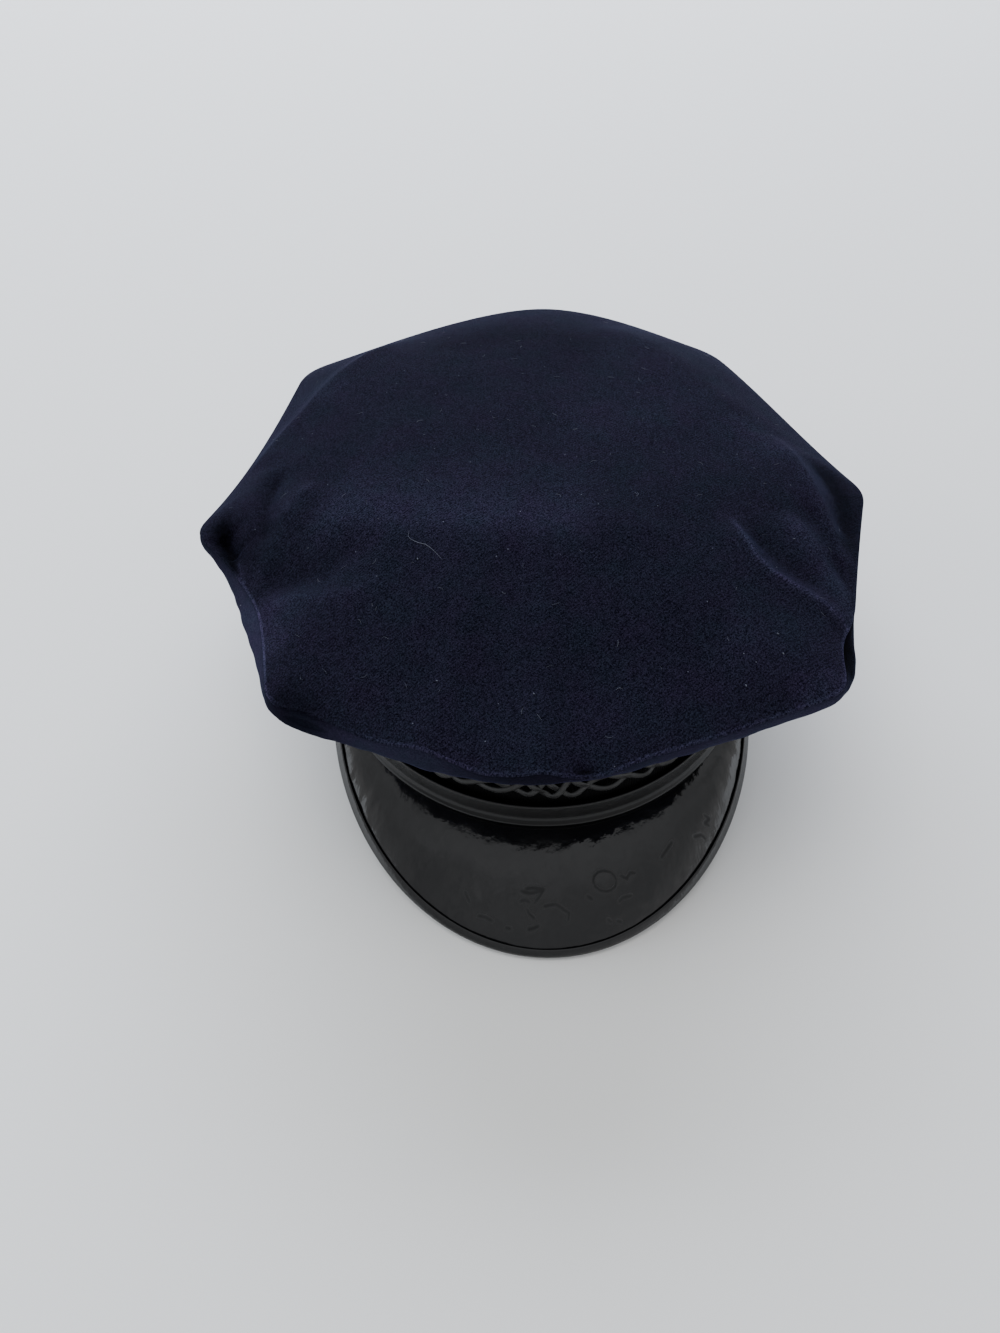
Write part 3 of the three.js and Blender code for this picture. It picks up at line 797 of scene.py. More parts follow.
share = np.linspace(0, 1, SIDE_ROWS + 1)
place_grid, share_grid = np.meshgrid(places, share, indexing="ij")
outer, run, out = side_curve(place_grid, share_grid)
circle = 2 * np.pi * place_grid / POINT_COUNT
gather = ripple(np.sin(circle) * GATHER_ROUND, np.cos(circle) * GATHER_ROUND, GATHER_LENGTH, GATHER_SEED)
fade = np.exp(-share_grid / GATHER_REACH) * share_grid * GATHER_GAIN
outer -= into_wall(run, out) * (GATHER * gather * fade)[..., None]

inner_share = np.linspace(1, 0, SIDE_INNER_ROWS + 1)
place_grid, share_grid = np.meshgrid(places, inner_share, indexing="ij")
inner, run, out = side_curve(place_grid, share_grid)
inner += into_wall(run, out) * CLOTH_WALL
inner[:, 0] = outer[:, -1] - out[:, 0] * CLOTH_WALL
inner[:, -1] = outer[:, 0] - out[:, -1] * CLOTH_WALL

grid = np.concatenate((outer, inner, outer[:, :1]), 1)
_, along = path_steps(outer[:, 0])
down = np.concatenate((share, inner_share, share[:1]))
pattern = pattern_places(along[:, None], SIDE_DEPTH * down)
# Painted light and shade on the side: paler strips, and a dark painted shadow in the pocket under the seam,
# fading downwards.
side_shade = seam_column(places, "shade")[:, None] * ease((SHADE_END - down) / SHADE_FADE)
values = {"shade": side_shade, "plain": np.ones(grid.shape[:2])}
side_cloth = make_piece("crown_side_cloth", grid, pattern, "crown_side", values=values)

# %% [markdown]
# ## Navy twill
# The cloth is a fine wool twill: slanting ribs about a millimetre apart, a soft nap that catches light at a
# glancing angle, and pale specks of lint. A picture of cloth would show its repeats, so all is worked out.
# The ribs are a wave across the cloth's own pattern, slightly bent by noise. Where a yarn floats over the
# others it shows as a small cell, each as bright as it happens to lie. The side is plainer than the top. The
# nap is the shader's sheen.

# %% Weave the twill
FLOATS_PER_METRE = 3000.0
RIB_SLANT = 0.9
NAP_POWER = 1.3
RIB_SHARE = 0.16
PLAIN_SHARE = 0.65
EVEN_YARN = (0.4, 0.4, 0.4, 1)
DARK_YARN = (0.0006, 0.0006, 0.0022, 1)
LIGHT_YARN = (0.0158, 0.0154, 0.0292, 1)


def own_pattern(finish):
    """The place on a piece's own pattern, in metres."""
    return add_node(finish, "UVMap", "UV", uv_map="pattern")


def relief(finish, height, strength, distance, **inputs):
    """A bump that tilts the light on a surface by the slope of a height. distance is in metres."""
    look = {"Height": height, "Strength": strength, "Distance": distance, **inputs}
    return add_node(finish, "Bump", "Normal", look)


navy = new_finish(
    "navy twill",
    Roughness=0.9,
    Specular_IOR_Level=0.02,
    Sheen_Weight=0.07,
    Sheen_Roughness=0.25,
    Sheen_Tint=(0.35, 0.4, 1.0, 1),
)
weave = own_pattern(navy)
slant = add_node(navy, "Mapping", "Vector", {"Vector": weave, "Rotation": (0, 0, RIB_SLANT)})
rib_look = {"Vector": slant, "Scale": 270.0, "Distortion": 4.0, "Detail": 3.0, "Detail Scale": 2.5}
ribs = add_node(navy, "TexWave", "Fac", rib_look)
floats = add_node(navy, "TexVoronoi", "Color", {"Vector": weave, "Scale": FLOATS_PER_METRE})
nap = add_node(navy, "SeparateColor", "Red", {"Color": floats})
nap = reckoned(navy, "POWER", nap, NAP_POWER)
yarn = mixed(navy, RIB_SHARE, nap, ribs)
plain = add_node(navy, "Attribute", "Fac", attribute_name="plain")
yarn = mixed(navy, reckoned(navy, "MULTIPLY", plain, PLAIN_SHARE), yarn, EVEN_YARN)
tone = mixed(navy, yarn, DARK_YARN, LIGHT_YARN)
set_finish(navy, Normal=relief(navy, yarn, strength=0.4, distance=0.0004))
print("twill:", round(FLOATS_PER_METRE / METRE), "floats to a millimetre")

# %% [markdown]
# Wear comes on top of the weave. Noise of many sizes makes some patches warmer and others cooler, and a few
# cells of a cell pattern hold a speck of lint at their middle. The painted light and shade of the folds and
# of the side multiplies it all.

# %% Wear on the twill, and its painted light and shade
COOL_CAST = (0.9, 1.1, 1.0, 1)
WARM_CAST = (1.1, 0.94, 1.04, 1)
PALE_SPECK = (0.08, 0.085, 0.11, 1)
BARE_CELLS = 0.72
DARKEST = 0.04

mottle = noise(navy, weave, scale=45.0, detail=6.0, Roughness=0.7)
cast = mixed(navy, fitted(navy, mottle, low=0.36, high=0.64), WARM_CAST, COOL_CAST)
tone = mixed(navy, 1.0, tone, cast, blend_type="MULTIPLY")
off_middle = add_node(navy, "TexVoronoi", "Distance", {"Vector": weave, "Scale": 210.0, "Randomness": 1.0})
speck = fitted(navy, off_middle, low=0.06, high=0.03)
chance = add_node(navy, "SeparateColor", "Red", {"Color": off_middle.node.outputs["Color"]})
chosen = reckoned(navy, "GREATER_THAN", chance, BARE_CELLS)
tone = mixed(navy, reckoned(navy, "MULTIPLY", speck, chosen), tone, PALE_SPECK)
# Painted light and shade: the shade attribute scales the cloth's colour, doubling it at 1 and darkening it
# to nearly black at -1.
fold_shade = add_node(navy, "Attribute", "Fac", attribute_name="shade")
bright = reckoned(navy, "MAXIMUM", reckoned(navy, "ADD", fold_shade, 1.0), DARKEST)
set_finish(navy, Base_Color=mixed(navy, 1.0, tone, bright, blend_type="MULTIPLY"))
top_cloth.data.materials.append(navy)
side_cloth.data.materials.append(navy)
print("navy twill on", top_cloth.name, "and", side_cloth.name)

# %% [markdown]
# ## Lint
# Wool catches lint: short curled fibres, a few tufts and one long thread. Blender could scatter hairs, but
# the tufts and the thread have known places, so each fibre is a thin tube of its own on the top, which
# closes to a point at both ends. The loose ones lie at random, and each bends evenly along its length.

# %% Lay out the lint
LINT_SEED = 7
LINT_COUNT = 100
LINT_STEPS = 13
LINT_AREA = (0.02, 0.9)
LINT_THICK = (0.03, 0.055)
LINT_LONG = (1.2, 4.2)
LINT_BEND = 2.2
TUFTS = [(80.2, -84.3), (80.4, -91.6), (65.4, -103.9), (95.2, -35.6), (-48.1, -50.4), (-40.1, -100.9),
         (-6.9, -107.2)]
TUFT_LONG = 0.9
TUFT_THICK = 0.2
THREAD = [(-51.6, -37.9), (-51.9, -41.6), (-48.5, -43.9), (-45.1, -45.2), (-41.7, -48.6), (-38.4, -53.3)]
THREAD_THICK = 0.09

draw = np.random.default_rng(LINT_SEED)
lint_places = draw.uniform(0, POINT_COUNT, LINT_COUNT)
lint_out = np.sqrt(draw.uniform(*LINT_AREA, LINT_COUNT))
middles = np.concatenate((crown_top(lint_places, lint_out)[:, :2], TUFTS))
lengths = np.concatenate((draw.uniform(*LINT_LONG, LINT_COUNT), np.full(len(TUFTS), TUFT_LONG)))
tuft_thick = np.full(len(TUFTS), TUFT_THICK)
lint_thick = np.concatenate((draw.uniform(*LINT_THICK, LINT_COUNT), tuft_thick, [THREAD_THICK]))
step = np.linspace(-0.5, 0.5, LINT_STEPS)
heading = draw.uniform(0, 2 * np.pi, len(middles))[:, None]
heading = heading + draw.uniform(-LINT_BEND, LINT_BEND, len(middles))[:, None] * step
walk = np.stack((np.cos(heading), np.sin(heading)), -1) * (lengths / LINT_STEPS)[:, None, None]
fibres = middles[:, None] + np.cumsum(walk, 1)
thread_steps = np.linspace(0, len(THREAD) - 1, LINT_STEPS)
thread = np.stack([np.interp(thread_steps, range(len(THREAD)), axis) for axis in np.transpose(THREAD)], -1)
lint_plan = np.concatenate((fibres, thread[None]))
print("lint:", len(lint_plan), "fibres, the longest of the loose ones", lengths.max().round(1), "mm")

# %% [markdown]
# The fibres are laid out on a plan, and have to be dropped on to the folds. The top is a function of a place
# and a way out, not of the plan, so the right pair is found by aiming and correcting the aim. All the tubes
# are then worked out at once, as one stack of grids.

# %% Make the lint
LINT_SIDES = 6
LINT_CLEAR = 0.05
AIMS = 4
LINT_DARK = (0.03, 0.035, 0.06, 1)
LINT_PALE = (0.16, 0.17, 0.2, 1)


def top_at(plan):
    """Points of the top over plan points: the place is read from the direction, and the way out is the share
    of the distance to the seam. The rays to the seam bend a little, so after each aim the miss is taken off
    the next."""
    seam = seam_line(places)
    rim_turn = np.unwrap(np.arctan2(seam[:, 0], CENTRE_Y - seam[:, 1]))
    aim = plan
    for _ in range(AIMS):
        turn = np.arctan2(aim[..., 0], CENTRE_Y - aim[..., 1])
        place = np.interp(rim_turn[0] + (turn - rim_turn[0]) % (2 * np.pi), rim_turn, places)
        _, seam_reach = towards_edge(seam_line(place))
        _, reach = towards_edge(aim)
        points = crown_top(place, np.minimum(reach / seam_reach, 1)[..., 0])
        aim = aim + plan - points[..., :2]
    return points


lines = top_at(lint_plan)
lines[..., 2] += LINT_CLEAR + lint_thick[:, None]
ahead = np.gradient(lines, axis=1)
across = unit(np.cross(ahead, UPRIGHT))
above = unit(np.cross(across, ahead))
lint_round = np.linspace(0, 2 * np.pi, LINT_SIDES + 1)[:, None]
tube = across[:, :, None] * np.cos(lint_round) + above[:, :, None] * np.sin(lint_round)
taper = np.sqrt(1 - (2 * step) ** 2)[None, :, None, None]
grid = lines[:, :, None] + tube * (taper * lint_thick[:, None, None, None])
pattern = pattern_places(np.broadcast_to(step[:, None], grid.shape[:3]), lint_round[:, 0])
lint = make_piece("crown_lint", grid, pattern, None)

lint_finish = new_finish("pale lint", Roughness=0.8, Specular_IOR_Level=0.1)
blot = noise(lint_finish, add_node(lint_finish, "TexCoord", "Object"), scale=90.0, detail=2.0)
set_finish(lint_finish, Base_Color=mixed(lint_finish, blot, LINT_DARK, LINT_PALE))
lint.data.materials.append(lint_finish)

# %% [markdown]
# ## The band
# A stiff upright ring holds the cap on the head. A stretched tube would have a wall of uneven thickness, so
# a section, a tall bar with rounded ends, is carried round the head's oval. Black ribbed cloth covers it.

# %% Make the band
BAND_SECTIONS = 240
BAND_EDGE_POINTS = 9
HEAD_RADIUS = 95

half_wall = BAND_WALL / 2
edge_turn = np.linspace(0, np.pi, BAND_EDGE_POINTS)
edge_off = half_wall * np.cos(edge_turn)
edge_rise = half_wall * np.sin(edge_turn)
upper = np.stack((edge_off, BAND_HEIGHT - half_wall + edge_rise), -1)
lower = np.stack((-edge_off, half_wall - edge_rise), -1)
band_section = np.concatenate((upper, lower, upper[:1]))
band_turns = np.linspace(0, 2 * np.pi, BAND_SECTIONS + 1)[:, None]
grid = band_oval(band_turns, band_section[:, 0] - half_wall, band_section[:, 1])
pattern = pattern_places(band_turns * HEAD_RADIUS, band_section[:, 1])
band = make_piece("band_cover", grid, pattern, "band")

ribbed = new_finish(
    "black ribbed cloth",
    Base_Color=(0.0008, 0.0008, 0.001, 1),
    Roughness=0.85,
    Specular_IOR_Level=0.08,
)
rib_look = {"Vector": own_pattern(ribbed), "Scale": 260.0, "Distortion": 0.4}
ribs = add_node(ribbed, "TexWave", "Fac", rib_look)
set_finish(ribbed, Normal=relief(ribbed, ribs, strength=0.6, distance=0.0004))
band.data.materials.append(ribbed)

# %% [markdown]
# ## The plait
# Five flat cords are plaited loosely round the band. Each swings up and down, a fifth of a swing behind the
# one before, and meets each of the others twice in a swing. Moving in and out four times in that time, it
# passes over one and under the next. The swings come out whole round the band, so each cord meets its start.

# %% The path of a cord
SWINGS = 9
CORDS = 5
PLAIT_MIDDLE = 27.8
PLAIT_HALF = 9.0
STRAIGHTER = 0.07
OVER_UNDER = 0.78
PLAIT_OFF = 1.5
SLACK = [{"waves": 5, "size": 0.4}, {"waves": 13, "size": 0.25}]
OWN_SLACK = {"waves": 7, "size": 0.28, "lag": 1.7}
OWN_SAG = {"waves": 9, "size": 1.1, "lag": 2.1}


def own_wave(turn, cord, wave):
    """A slow wave round the band that is shifted further for each cord."""
    return wave["size"] * np.sin(wave["waves"] * turn + wave["lag"] * cord)


def plait_line(turn, cord):
    """The middle of a cord: its height is a cosine, with a little of the wave three times as fast, which
    makes its slopes straighter. The plait is tighter in some places than in others, so its phase runs ahead
    and falls back in slow waves. Each cord also has a little slack and sag of its own."""
    phase = SWINGS * turn + 2 * np.pi * cord / CORDS
    for slack in SLACK:
        phase = phase + slack["size"] * np.sin(slack["waves"] * turn)
    phase = phase + own_wave(turn, cord, OWN_SLACK)
    swing = (1 - STRAIGHTER) * np.cos(phase) + STRAIGHTER * np.cos(3 * phase)
    z = PLAIT_MIDDLE - PLAIT_HALF * swing + own_wave(turn, cord, OWN_SAG)
    return band_oval(turn, PLAIT_OFF + OVER_UNDER * np.sin((CORDS - 1) * phase), z)


print("start of the first cord:", plait_line(0.0, 0).round(1), "mm")

# %% [markdown]
# A cord could be a curve with a bevel, but a plain bevel is round. Here a flattened section is carried along
# each path, with its flat side against the band. The finish is a soft gloss with a fine grain.

# %% Make the plait
SAMPLES_PER_SWING = 94
CORD_POINTS = 16
CORD_HALF_WIDTH = 1.4
CORD_HALF_THICK = 0.55
CORD_SQUARE = 0.8
SMALL_TURN = 1e-4


def squared(share):
    """Draws a cosine or sine out towards its ends, which flattens a round section into a flat cord's."""
    return np.sign(share) * np.abs(share) ** CORD_SQUARE


def off_band(turn):
    """The level direction straight out from the band: a circle's, divided by the oval's half sizes."""
    return unit(np.stack((np.sin(turn) / HEAD_HALF_WIDTH, -np.cos(turn) / HEAD_HALF_LENGTH, 0 * turn), -1))


cord_finish = new_finish(
    "black cord",
    Base_Color=(0.0105, 0.0105, 0.011, 1),
    Roughness=0.38,
    Specular_IOR_Level=0.36,
)
stretched = {"Vector": own_pattern(cord_finish), "Scale": (1, 0.6, 1)}
grain = noise(cord_finish, add_node(cord_finish, "Mapping", "Vector", stretched), scale=900.0, detail=3.0)
set_finish(cord_finish, Normal=relief(cord_finish, grain, strength=0.25, distance=0.0003))

cord_turns = np.linspace(0, 2 * np.pi, SWINGS * SAMPLES_PER_SWING + 1)
cord_round = np.linspace(0, 2 * np.pi, CORD_POINTS + 1)
cord_wide = CORD_HALF_WIDTH * squared(np.cos(cord_round))[:, None]
cord_deep = CORD_HALF_THICK * squared(np.sin(cord_round))[:, None]
outward = off_band(cord_turns)
for cord in range(CORDS):
    middle = plait_line(cord_turns, cord)
    ahead = unit(plait_line(cord_turns + SMALL_TURN, cord) - plait_line(cord_turns - SMALL_TURN, cord))
    across = unit(np.cross(ahead, outward))
    grid = middle[:, None] + (across[:, None] * cord_wide + outward[:, None] * cord_deep)
    _, along = path_steps(middle)
    pattern = pattern_places(along[:, None], cord_round)
    piece = make_piece(f"plait_cord_{cord + 1}", grid, pattern, "braid")
    piece.data.materials.append(cord_finish)

# %% [markdown]
# ## The strap
# A narrow patent strap lies across the front, just above the peak. Its section is a flat bar with rounded
# edges and a bead along the lower one, which catches the light. Towards each end it narrows to a half
# circle. Between its ends it hangs a little loose, off the band and to one side. A bent box with a bevel
# could stand in for it, but a section carried along the band gives the bead and the ends as well.

# %% Make the strap
STRAP_LOW = 2.9
STRAP_WIDTH = 10.8
STRAP_WALL = 2.5
STRAP_OFF = 0.4
STRAP_STAND = 1.4
STRAP_ASIDE = -0.8
STRAP_END = np.radians(78)
STRAP_HELD = np.radians(22)
STRAP_SECTIONS = 260
STRAP_CORE = 0.2
STRAP_FLAT = 0.35
BEAD_DOWN = 0.93
BEAD_WIDTH = 0.17
FACE_POINTS = 41
FACE_SQUARE = 20
BACK_POINTS = 10
BACK_SQUARE = 9
LEAST_NARROW = 1e-3


def strap_section():
    """The strap's section as offs and heights, both as shares. The face is rounded at its top and bottom,
    and swells into a bead along its lower edge."""
    down = np.linspace(0, 1, FACE_POINTS)
    swell = np.sqrt(np.clip(1 - np.abs(2 * down - 1) ** FACE_SQUARE, 0, 1))
    bead = np.exp(-(((down - BEAD_DOWN) / BEAD_WIDTH) ** 2))
    face = STRAP_CORE + (1 - STRAP_CORE) * swell * (STRAP_FLAT + (1 - STRAP_FLAT) * bead)
    rise = np.linspace(1, 0, BACK_POINTS + 2)[1:-1]
    behind = STRAP_CORE * (1 - np.sqrt(1 - np.abs(2 * rise - 1) ** BACK_SQUARE))
    return np.concatenate((face, behind, face[:1])), 1 - np.concatenate((down, rise, down[:1]))


section_off, section_height = strap_section()
strap_turns = np.linspace(-STRAP_END, STRAP_END, STRAP_SECTIONS + 1)[:, None]
from_end = STRAP_END - np.abs(strap_turns)
half_widths = from_end * HEAD_HALF_LENGTH / (STRAP_WIDTH / 2)
narrow = np.sqrt(np.clip(1 - (1 - np.minimum(half_widths, 1)) ** 2, LEAST_NARROW, 1))
height = STRAP_LOW + STRAP_WIDTH / 2 * (1 + narrow * (2 * section_height - 1))
loose = ease(from_end / STRAP_HELD)
grid = band_oval(strap_turns, STRAP_OFF + STRAP_STAND * loose + STRAP_WALL * section_off, height)
grid[..., 0] += STRAP_ASIDE * loose
pattern = pattern_places(strap_turns * HEAD_RADIUS, height)
strap = make_piece("front_strap", grid, pattern, "strap", capped=True)

strap_finish = new_finish(
    "strap patent",
    Base_Color=(0.003, 0.003, 0.0032, 1),
    Roughness=0.25,
    Specular_IOR_Level=0.32,
)
grain = noise(strap_finish, own_pattern(strap_finish), scale=500.0, detail=3.0)
set_finish(strap_finish, Normal=relief(strap_finish, grain, strength=0.1, distance=0.0003))
strap.data.materials.append(strap_finish)

# %% [markdown]
# ## The buttons
# A plain domed button holds each end of the strap. A button is a profile turned about its own axis, which
# points straight out from the band. It shares the strap's finish.

# %% Make the buttons
BUTTON_RADIUS = 4.6
BUTTON_HEIGHT = 3.2
BUTTON_TURN = np.radians(74)
BUTTON_SIDES = 48
BUTTON_PROFILE = np.array([
    (0, 0), (0.9, 0), (1, 0.08), (1, 0.25), (0.94, 0.36), (0.88, 0.4), (0.84, 0.5), (0.72, 0.68),
    (0.55, 0.83), (0.36, 0.93), (0.18, 0.985), (0, 1),
])

spin = np.linspace(0, 2 * np.pi, BUTTON_SIDES + 1)[:, None]
profile_out = BUTTON_RADIUS * BUTTON_PROFILE[:, :1]
profile_up = BUTTON_HEIGHT * BUTTON_PROFILE[:, 1:]
for side_name, turn in (("right", BUTTON_TURN), ("left", -BUTTON_TURN)):
    seat = band_oval(turn, STRAP_OFF + STRAP_WALL + SEAM_GAP, STRAP_LOW + STRAP_WIDTH / 2)
    away = off_band(turn)
    spoke = np.cross(UPRIGHT, away) * np.cos(spin) + UPRIGHT * np.sin(spin)
    grid = seat + spoke[:, None] * profile_out + away * profile_up
    pattern = pattern_places(spin, BUTTON_PROFILE[:, 0])
    button = make_piece(f"button_{side_name}", grid, pattern, f"strap_button_{side_name}")
    button.data.materials.append(strap_finish)

# %% [markdown]
# ## The peak
# The peak slopes down and forward from the band. Across it, each section runs from the band to the outer
# edge and arches a little. Along it, the outer edge is an ellipse that dips towards the tip. The upper and
# lower faces lie half the thickness to each side, along the surface's own direction.

# %% The peak's shape
PEAK_WALL = 2.4
PEAK_HALF_WIDTH = 88.7
PEAK_ASIDE = -0.6
PEAK_WIDEST_Y = -28
PEAK_TIP_Y = -142.4
PEAK_TIP_Z = -30.3
PEAK_CORNER_Z = 0.4
PEAK_EASE = 0.2
PEAK_OUTER_END = np.radians(95)
PEAK_INNER_END = np.radians(80)
PEAK_SEAT_OFF = 1.15
PEAK_SEAT_Z = 1.5
PEAK_CAMBER = 5.8
SMALL_STEP = 1e-3


def peak_middle(round_, out):
    """The middle of the peak's thickness: a straight line from the band to the edge, arched by 4t(1 - t).
    The edge's dip is a cosine, eased so that it levels out at the corners."""
    turn = PEAK_OUTER_END * round_
    forward = np.cos(turn)
    dip = (forward + np.hypot(forward, PEAK_EASE)) / 2
    edge = np.stack((
        PEAK_ASIDE + PEAK_HALF_WIDTH * np.sin(turn),
        PEAK_WIDEST_Y + (PEAK_TIP_Y - PEAK_WIDEST_Y) * forward,
        PEAK_CORNER_Z + (PEAK_TIP_Z - PEAK_CORNER_Z) * dip,
    ), -1)
    seat = band_oval(PEAK_INNER_END * round_, PEAK_SEAT_OFF, np.full_like(turn, PEAK_SEAT_Z))
    middle = seat + (edge - seat) * out[..., None]
    middle[..., 2] += PEAK_CAMBER * 4 * out * (1 - out) * dip
    return middle


def peak_directions(round_, out):
    """Upwards off the peak and outwards across its edge, from small steps along and across it."""
    along = peak_middle(round_ + SMALL_STEP, out) - peak_middle(round_ - SMALL_STEP, out)
    outward = peak_middle(round_, out + SMALL_STEP) - peak_middle(round_, out - SMALL_STEP)
    up = unit(np.cross(outward, along))
    return up, np.cross(unit(along), up)


tip = peak_middle(np.array(0.0), np.array(1.0))
print("tip of the peak:", tip.round(1), "mm")

# %% [markdown]
# Patent keeps the marks of handling. A ring round a blister, a leaf shape and some short strokes are pressed
# into the peak, and random shallow dents cover it. They are deep enough to be seen as shapes, so they are
# made in the mesh: paths with a rise, as the folds of the crown are.

# %% Marks on the peak
LOOP_CHORDS = 12


def closed_loop(x, y, wide, tall, turn):
    """A closed path round an ellipse at a place, in a few chords, turned by an angle in degrees."""
    angle = np.linspace(0, 2 * np.pi, LOOP_CHORDS + 1)
    spin = np.radians(turn)
    a = wide * np.cos(angle)
    b = tall * np.sin(angle)
    return np.stack((x + a * np.cos(spin) - b * np.sin(spin), y + a * np.sin(spin) + b * np.cos(spin)), -1)


STROKE = (-0.15, 0.32, 0.32, 0.25, (0.7, 0.7))
MARK_PATHS = [
    closed_loop(20.2, -122.9, 4.5, 2.85, 6),
    [(-12, -126), (-8.4, -126.9), (-4.2, -126.5), (-3.3, -126), (-4.6, -127.7), (-6.8, -129.6)],
    [(-9.9, -125.4), (-6.5, -125.4), (-3.4, -126)],
    [(-12.3, -128.7), (-10.4, -128.5), (-8.5, -129.2)],
    [(-9.8, -130.9), (-8.6, -132.3), (-6.9, -133.5)],
    [(-9.4, -136), (-7.1, -135.8), (-5.2, -135.3)],
    [(-17.8, -134.9), (-15.9, -135.3)],
    [(-28.2, -130.5), (-25.5, -131.3), (-22.8, -132.7)],
    [(-33.2, -123.3), (-32.3, -124.8), (-31.2, -126.6)],
    [(-3.2, -130.5), (1.4, -130), (6.3, -132.3), (5.9, -134.1)],
    [(13.4, -127.6), (15.3, -128.3)],
    [(21, -132.9), (22.6, -133.3)],
    [(24.6, -132.8), (26.6, -132.8)],
    [(25.5, -127.9), (27.1, -126.6), (30.7, -125.5)],
    [(26.5, -120.8), (28.8, -121.3), (30.1, -119.5), (32.1, -119.2)],
    [(47.6, -107.1), (45.5, -109.6), (42.8, -112.9)],
    [(57.2, -102.7), (60.4, -101), (62.2, -101.4)],
    [(62.1, -94.4), (64.3, -94.5), (62, -96.9), (64.2, -96.7)],
]
BLISTER = ([(18.8, -123), (21.6, -122.7)], 0.12, 0.8, 0.8, 1.2, (0, 0))
MARKS = [(path, *STROKE) for path in MARK_PATHS] + [BLISTER]
DENTS = 90
DENT_SEED = 21
DENT_X = (-80, 80)
DENT_Y = (-140, -60)
DENT_SIZE = (1.2, 3.5)
DENT_SLOPE = (-0.025, 0.015)


def shallow_dents(x, y):
    """Round dents at random places: the sum of depth times exp(-(distance / size)^2), where a dent's depth
    is a random slope times its size."""
    draw = np.random.default_rng(DENT_SEED)
    total = np.zeros_like(x)
    for _ in range(DENTS):
        at_x = draw.uniform(*DENT_X)
        at_y = draw.uniform(*DENT_Y)
        size = draw.uniform(*DENT_SIZE)
        depth = draw.uniform(*DENT_SLOPE) * size
        total += depth * np.exp(-((x - at_x) ** 2 + (y - at_y) ** 2) / size**2)
    return total


print("marks on the peak:", len(MARKS), "and", DENTS, "dents")

# %% [markdown]
# The upper face is a fine grid, moved along the surface's own direction by half the thickness, the marks and
# a slow waviness. The lower face is smooth, so it has fewer rows. Each point also gets a number for how worn
# it is, which the finish turns into a duller gloss.

# %% Make the peak
PEAK_SECTIONS = 560
PEAK_ROWS = 140
PEAK_LOWER_ROWS = 24
WORN_DEPTH = 0.1
PEAK_WAVES = [
    {"height": 0.11, "length": 26, "seed": 11},
    {"height": 0.07, "length": 9, "seed": 12},
    {"height": 0.022, "length": 4.5, "seed": 13},
]

rounds = np.linspace(-1, 1, PEAK_SECTIONS + 1)
round_grid, out_grid = np.meshgrid(rounds, np.linspace(0, 1, PEAK_ROWS + 1), indexing="ij")
up, _ = peak_directions(round_grid, out_grid)
upper = peak_middle(round_grid, out_grid)
marked = fold_lift(upper[..., 0], upper[..., 1], MARKS)
uneven = waves_lift(upper[..., 0], upper[..., 1], PEAK_WAVES)
uneven += marked + shallow_dents(upper[..., 0], upper[..., 1])
upper += up * (PEAK_WALL / 2 + uneven)[..., None]

round_grid, out_grid = np.meshgrid(rounds, np.linspace(1, 0, PEAK_LOWER_ROWS + 1), indexing="ij")
up, _ = peak_directions(round_grid, out_grid)
lower = peak_middle(round_grid, out_grid) - up * PEAK_WALL / 2
grid = np.concatenate((upper, lower, upper[:, :1]), 1)
worn = np.zeros(grid.shape[:2])
worn[:, :marked.shape[1]] = np.clip(-marked / WORN_DEPTH, 0, 1)
pattern = grid[..., :2] / METRE
peak = make_piece("peak_leather", grid, pattern, "peak", capped=True, values={"worn": worn})

# %% [markdown]
# ## The binding
# A strip of the same patent folds over the peak's edge. Its section is a narrow U: a few handles, smoothed
# by cutting their corners, carried along the edge. Places behind the edge lie on the peak's own surface. The
# strip reaches less far over the peak at its tip than at its sides.

# %% Make the binding
BINDING_REACH = 4.0
BINDING_TIP_REACH = 1.9
BINDING_MOST = 0.8
BINDING_WALL = 0.65
BINDING_NOSE = 1.15
BINDING_END = 0.96
BINDING_SECTIONS = 320
CORNER_CUT = 0.25
CORNER_CUTS = 2

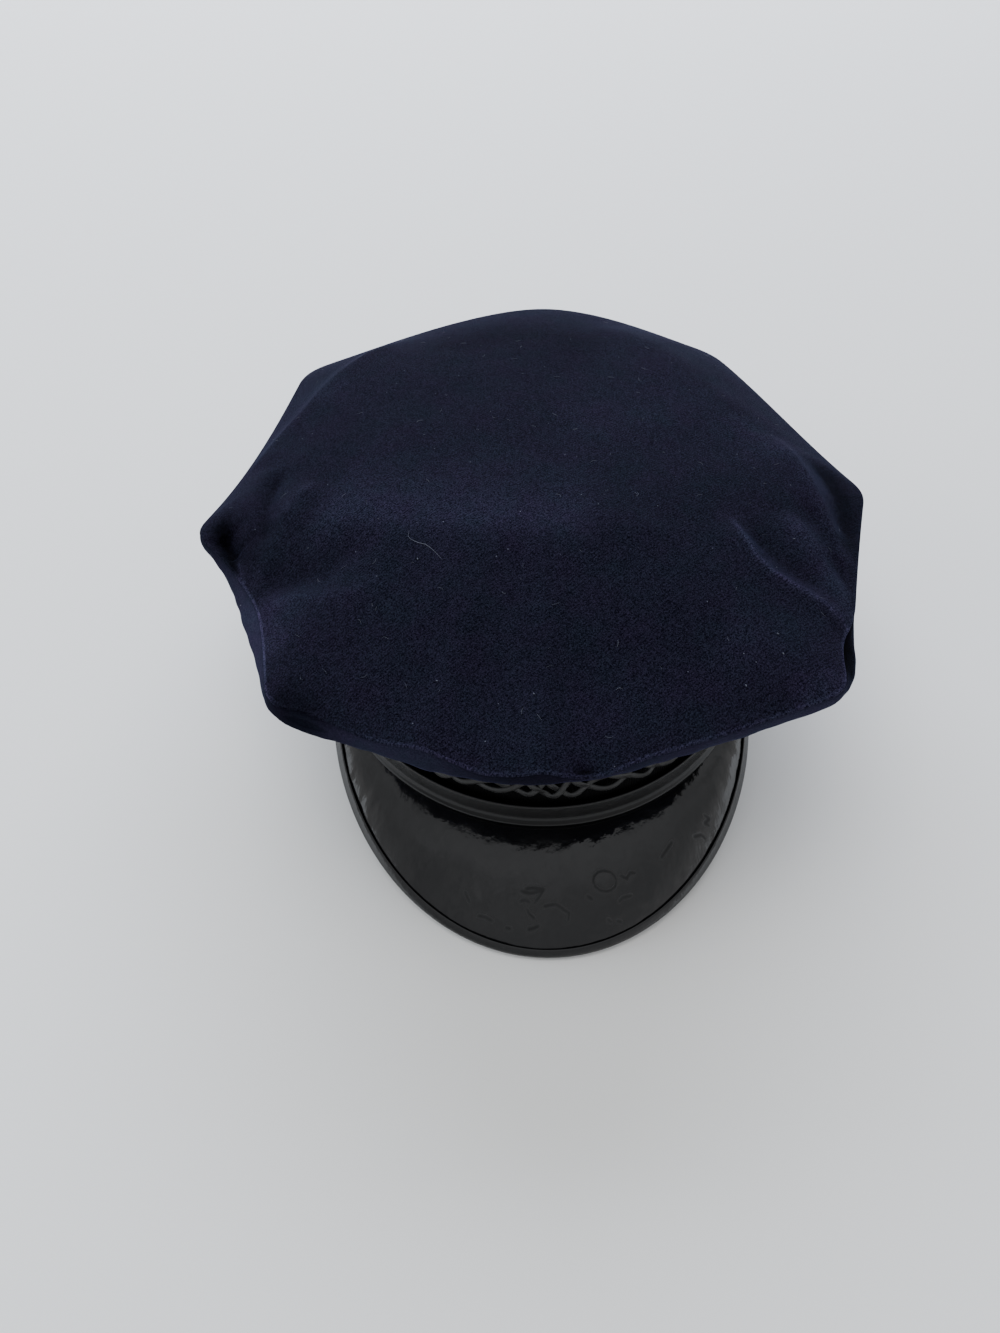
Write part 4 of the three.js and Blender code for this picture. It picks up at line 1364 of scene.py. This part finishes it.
# A handle's first number is a share of the reach behind the edge, or millimetres in front of it.
inside = PEAK_WALL / 2 + SEAM_GAP
outside = inside + BINDING_WALL
over = [(-1, inside), (-1, outside), (-0.4, outside), (0.75, 0.92 * outside), (BINDING_NOSE, 0.45 * outside)]
groove = [(SEAM_GAP, 0.4), (SEAM_GAP, inside), (-0.4, inside)]
below = [1, -1]
handles = np.concatenate((over, np.array(over[::-1]) * below, np.array(groove[::-1]) * below, groove))
for _ in range(CORNER_CUTS):
    following = np.roll(handles, -1, 0)
    near = (1 - CORNER_CUT) * handles + CORNER_CUT * following
    far = CORNER_CUT * handles + (1 - CORNER_CUT) * following
    handles = np.stack((near, far), 1).reshape(-1, 2)
binding_section = np.concatenate((handles, handles[:1]))

bound = np.linspace(-BINDING_END, BINDING_END, BINDING_SECTIONS + 1)
width = np.linalg.norm(peak_middle(bound, np.ones_like(bound)) - peak_middle(bound, 0 * bound), axis=-1)
reach = BINDING_REACH + (BINDING_TIP_REACH - BINDING_REACH) * np.cos(PEAK_OUTER_END * bound) ** 2
reach = np.minimum(reach / width, BINDING_MOST)
out_grid = 1 + np.minimum(0, binding_section[:, 0]) * reach[:, None]
round_grid = np.broadcast_to(bound[:, None], out_grid.shape)
up, across = peak_directions(round_grid, out_grid)
grid = peak_middle(round_grid, out_grid)
grid = grid + up * binding_section[:, 1:] + across * np.maximum(0, binding_section[:, :1])
binding = make_piece("peak_edging", grid, grid[..., :2] / METRE, "peak_binding", capped=True)

# %% [markdown]
# ## Black patent
# Patent is a hard glossy skin over leather. Up close it is not quite smooth: it has a faint orange-peel
# unevenness, and the gloss is dulled in places by handling, and more in the pressed marks. Two bumps from
# noise, one fine and one broad, give the unevenness, because as a mesh it would take millions of faces.

# %% Finish the peak and its binding
SCUFF_DULLS = 0.62

patent = new_finish("black patent", Base_Color=(0.004, 0.004, 0.0045, 1), IOR=1.6)
spot = own_pattern(patent)
peel = noise(patent, spot, scale=420.0, detail=2.0)
swell = noise(patent, spot, scale=110.0, detail=3.0)
smear = noise(patent, spot, scale=60.0, detail=5.0)
dull = fitted(patent, smear, low=0.35, high=0.75, to_low=0.1, to_high=0.24)
scuffed = add_node(patent, "Attribute", "Fac", attribute_name="worn")
rough = reckoned(patent, "MULTIPLY_ADD", scuffed, SCUFF_DULLS, dull, use_clamp=True)
fine = relief(patent, peel, strength=0.3, distance=0.0004)
set_finish(patent, Roughness=rough, Normal=relief(patent, swell, strength=0.3, distance=0.001, Normal=fine))
peak.data.materials.append(patent)
binding.data.materials.append(patent)
print("black patent on", peak.name, "and", binding.name)
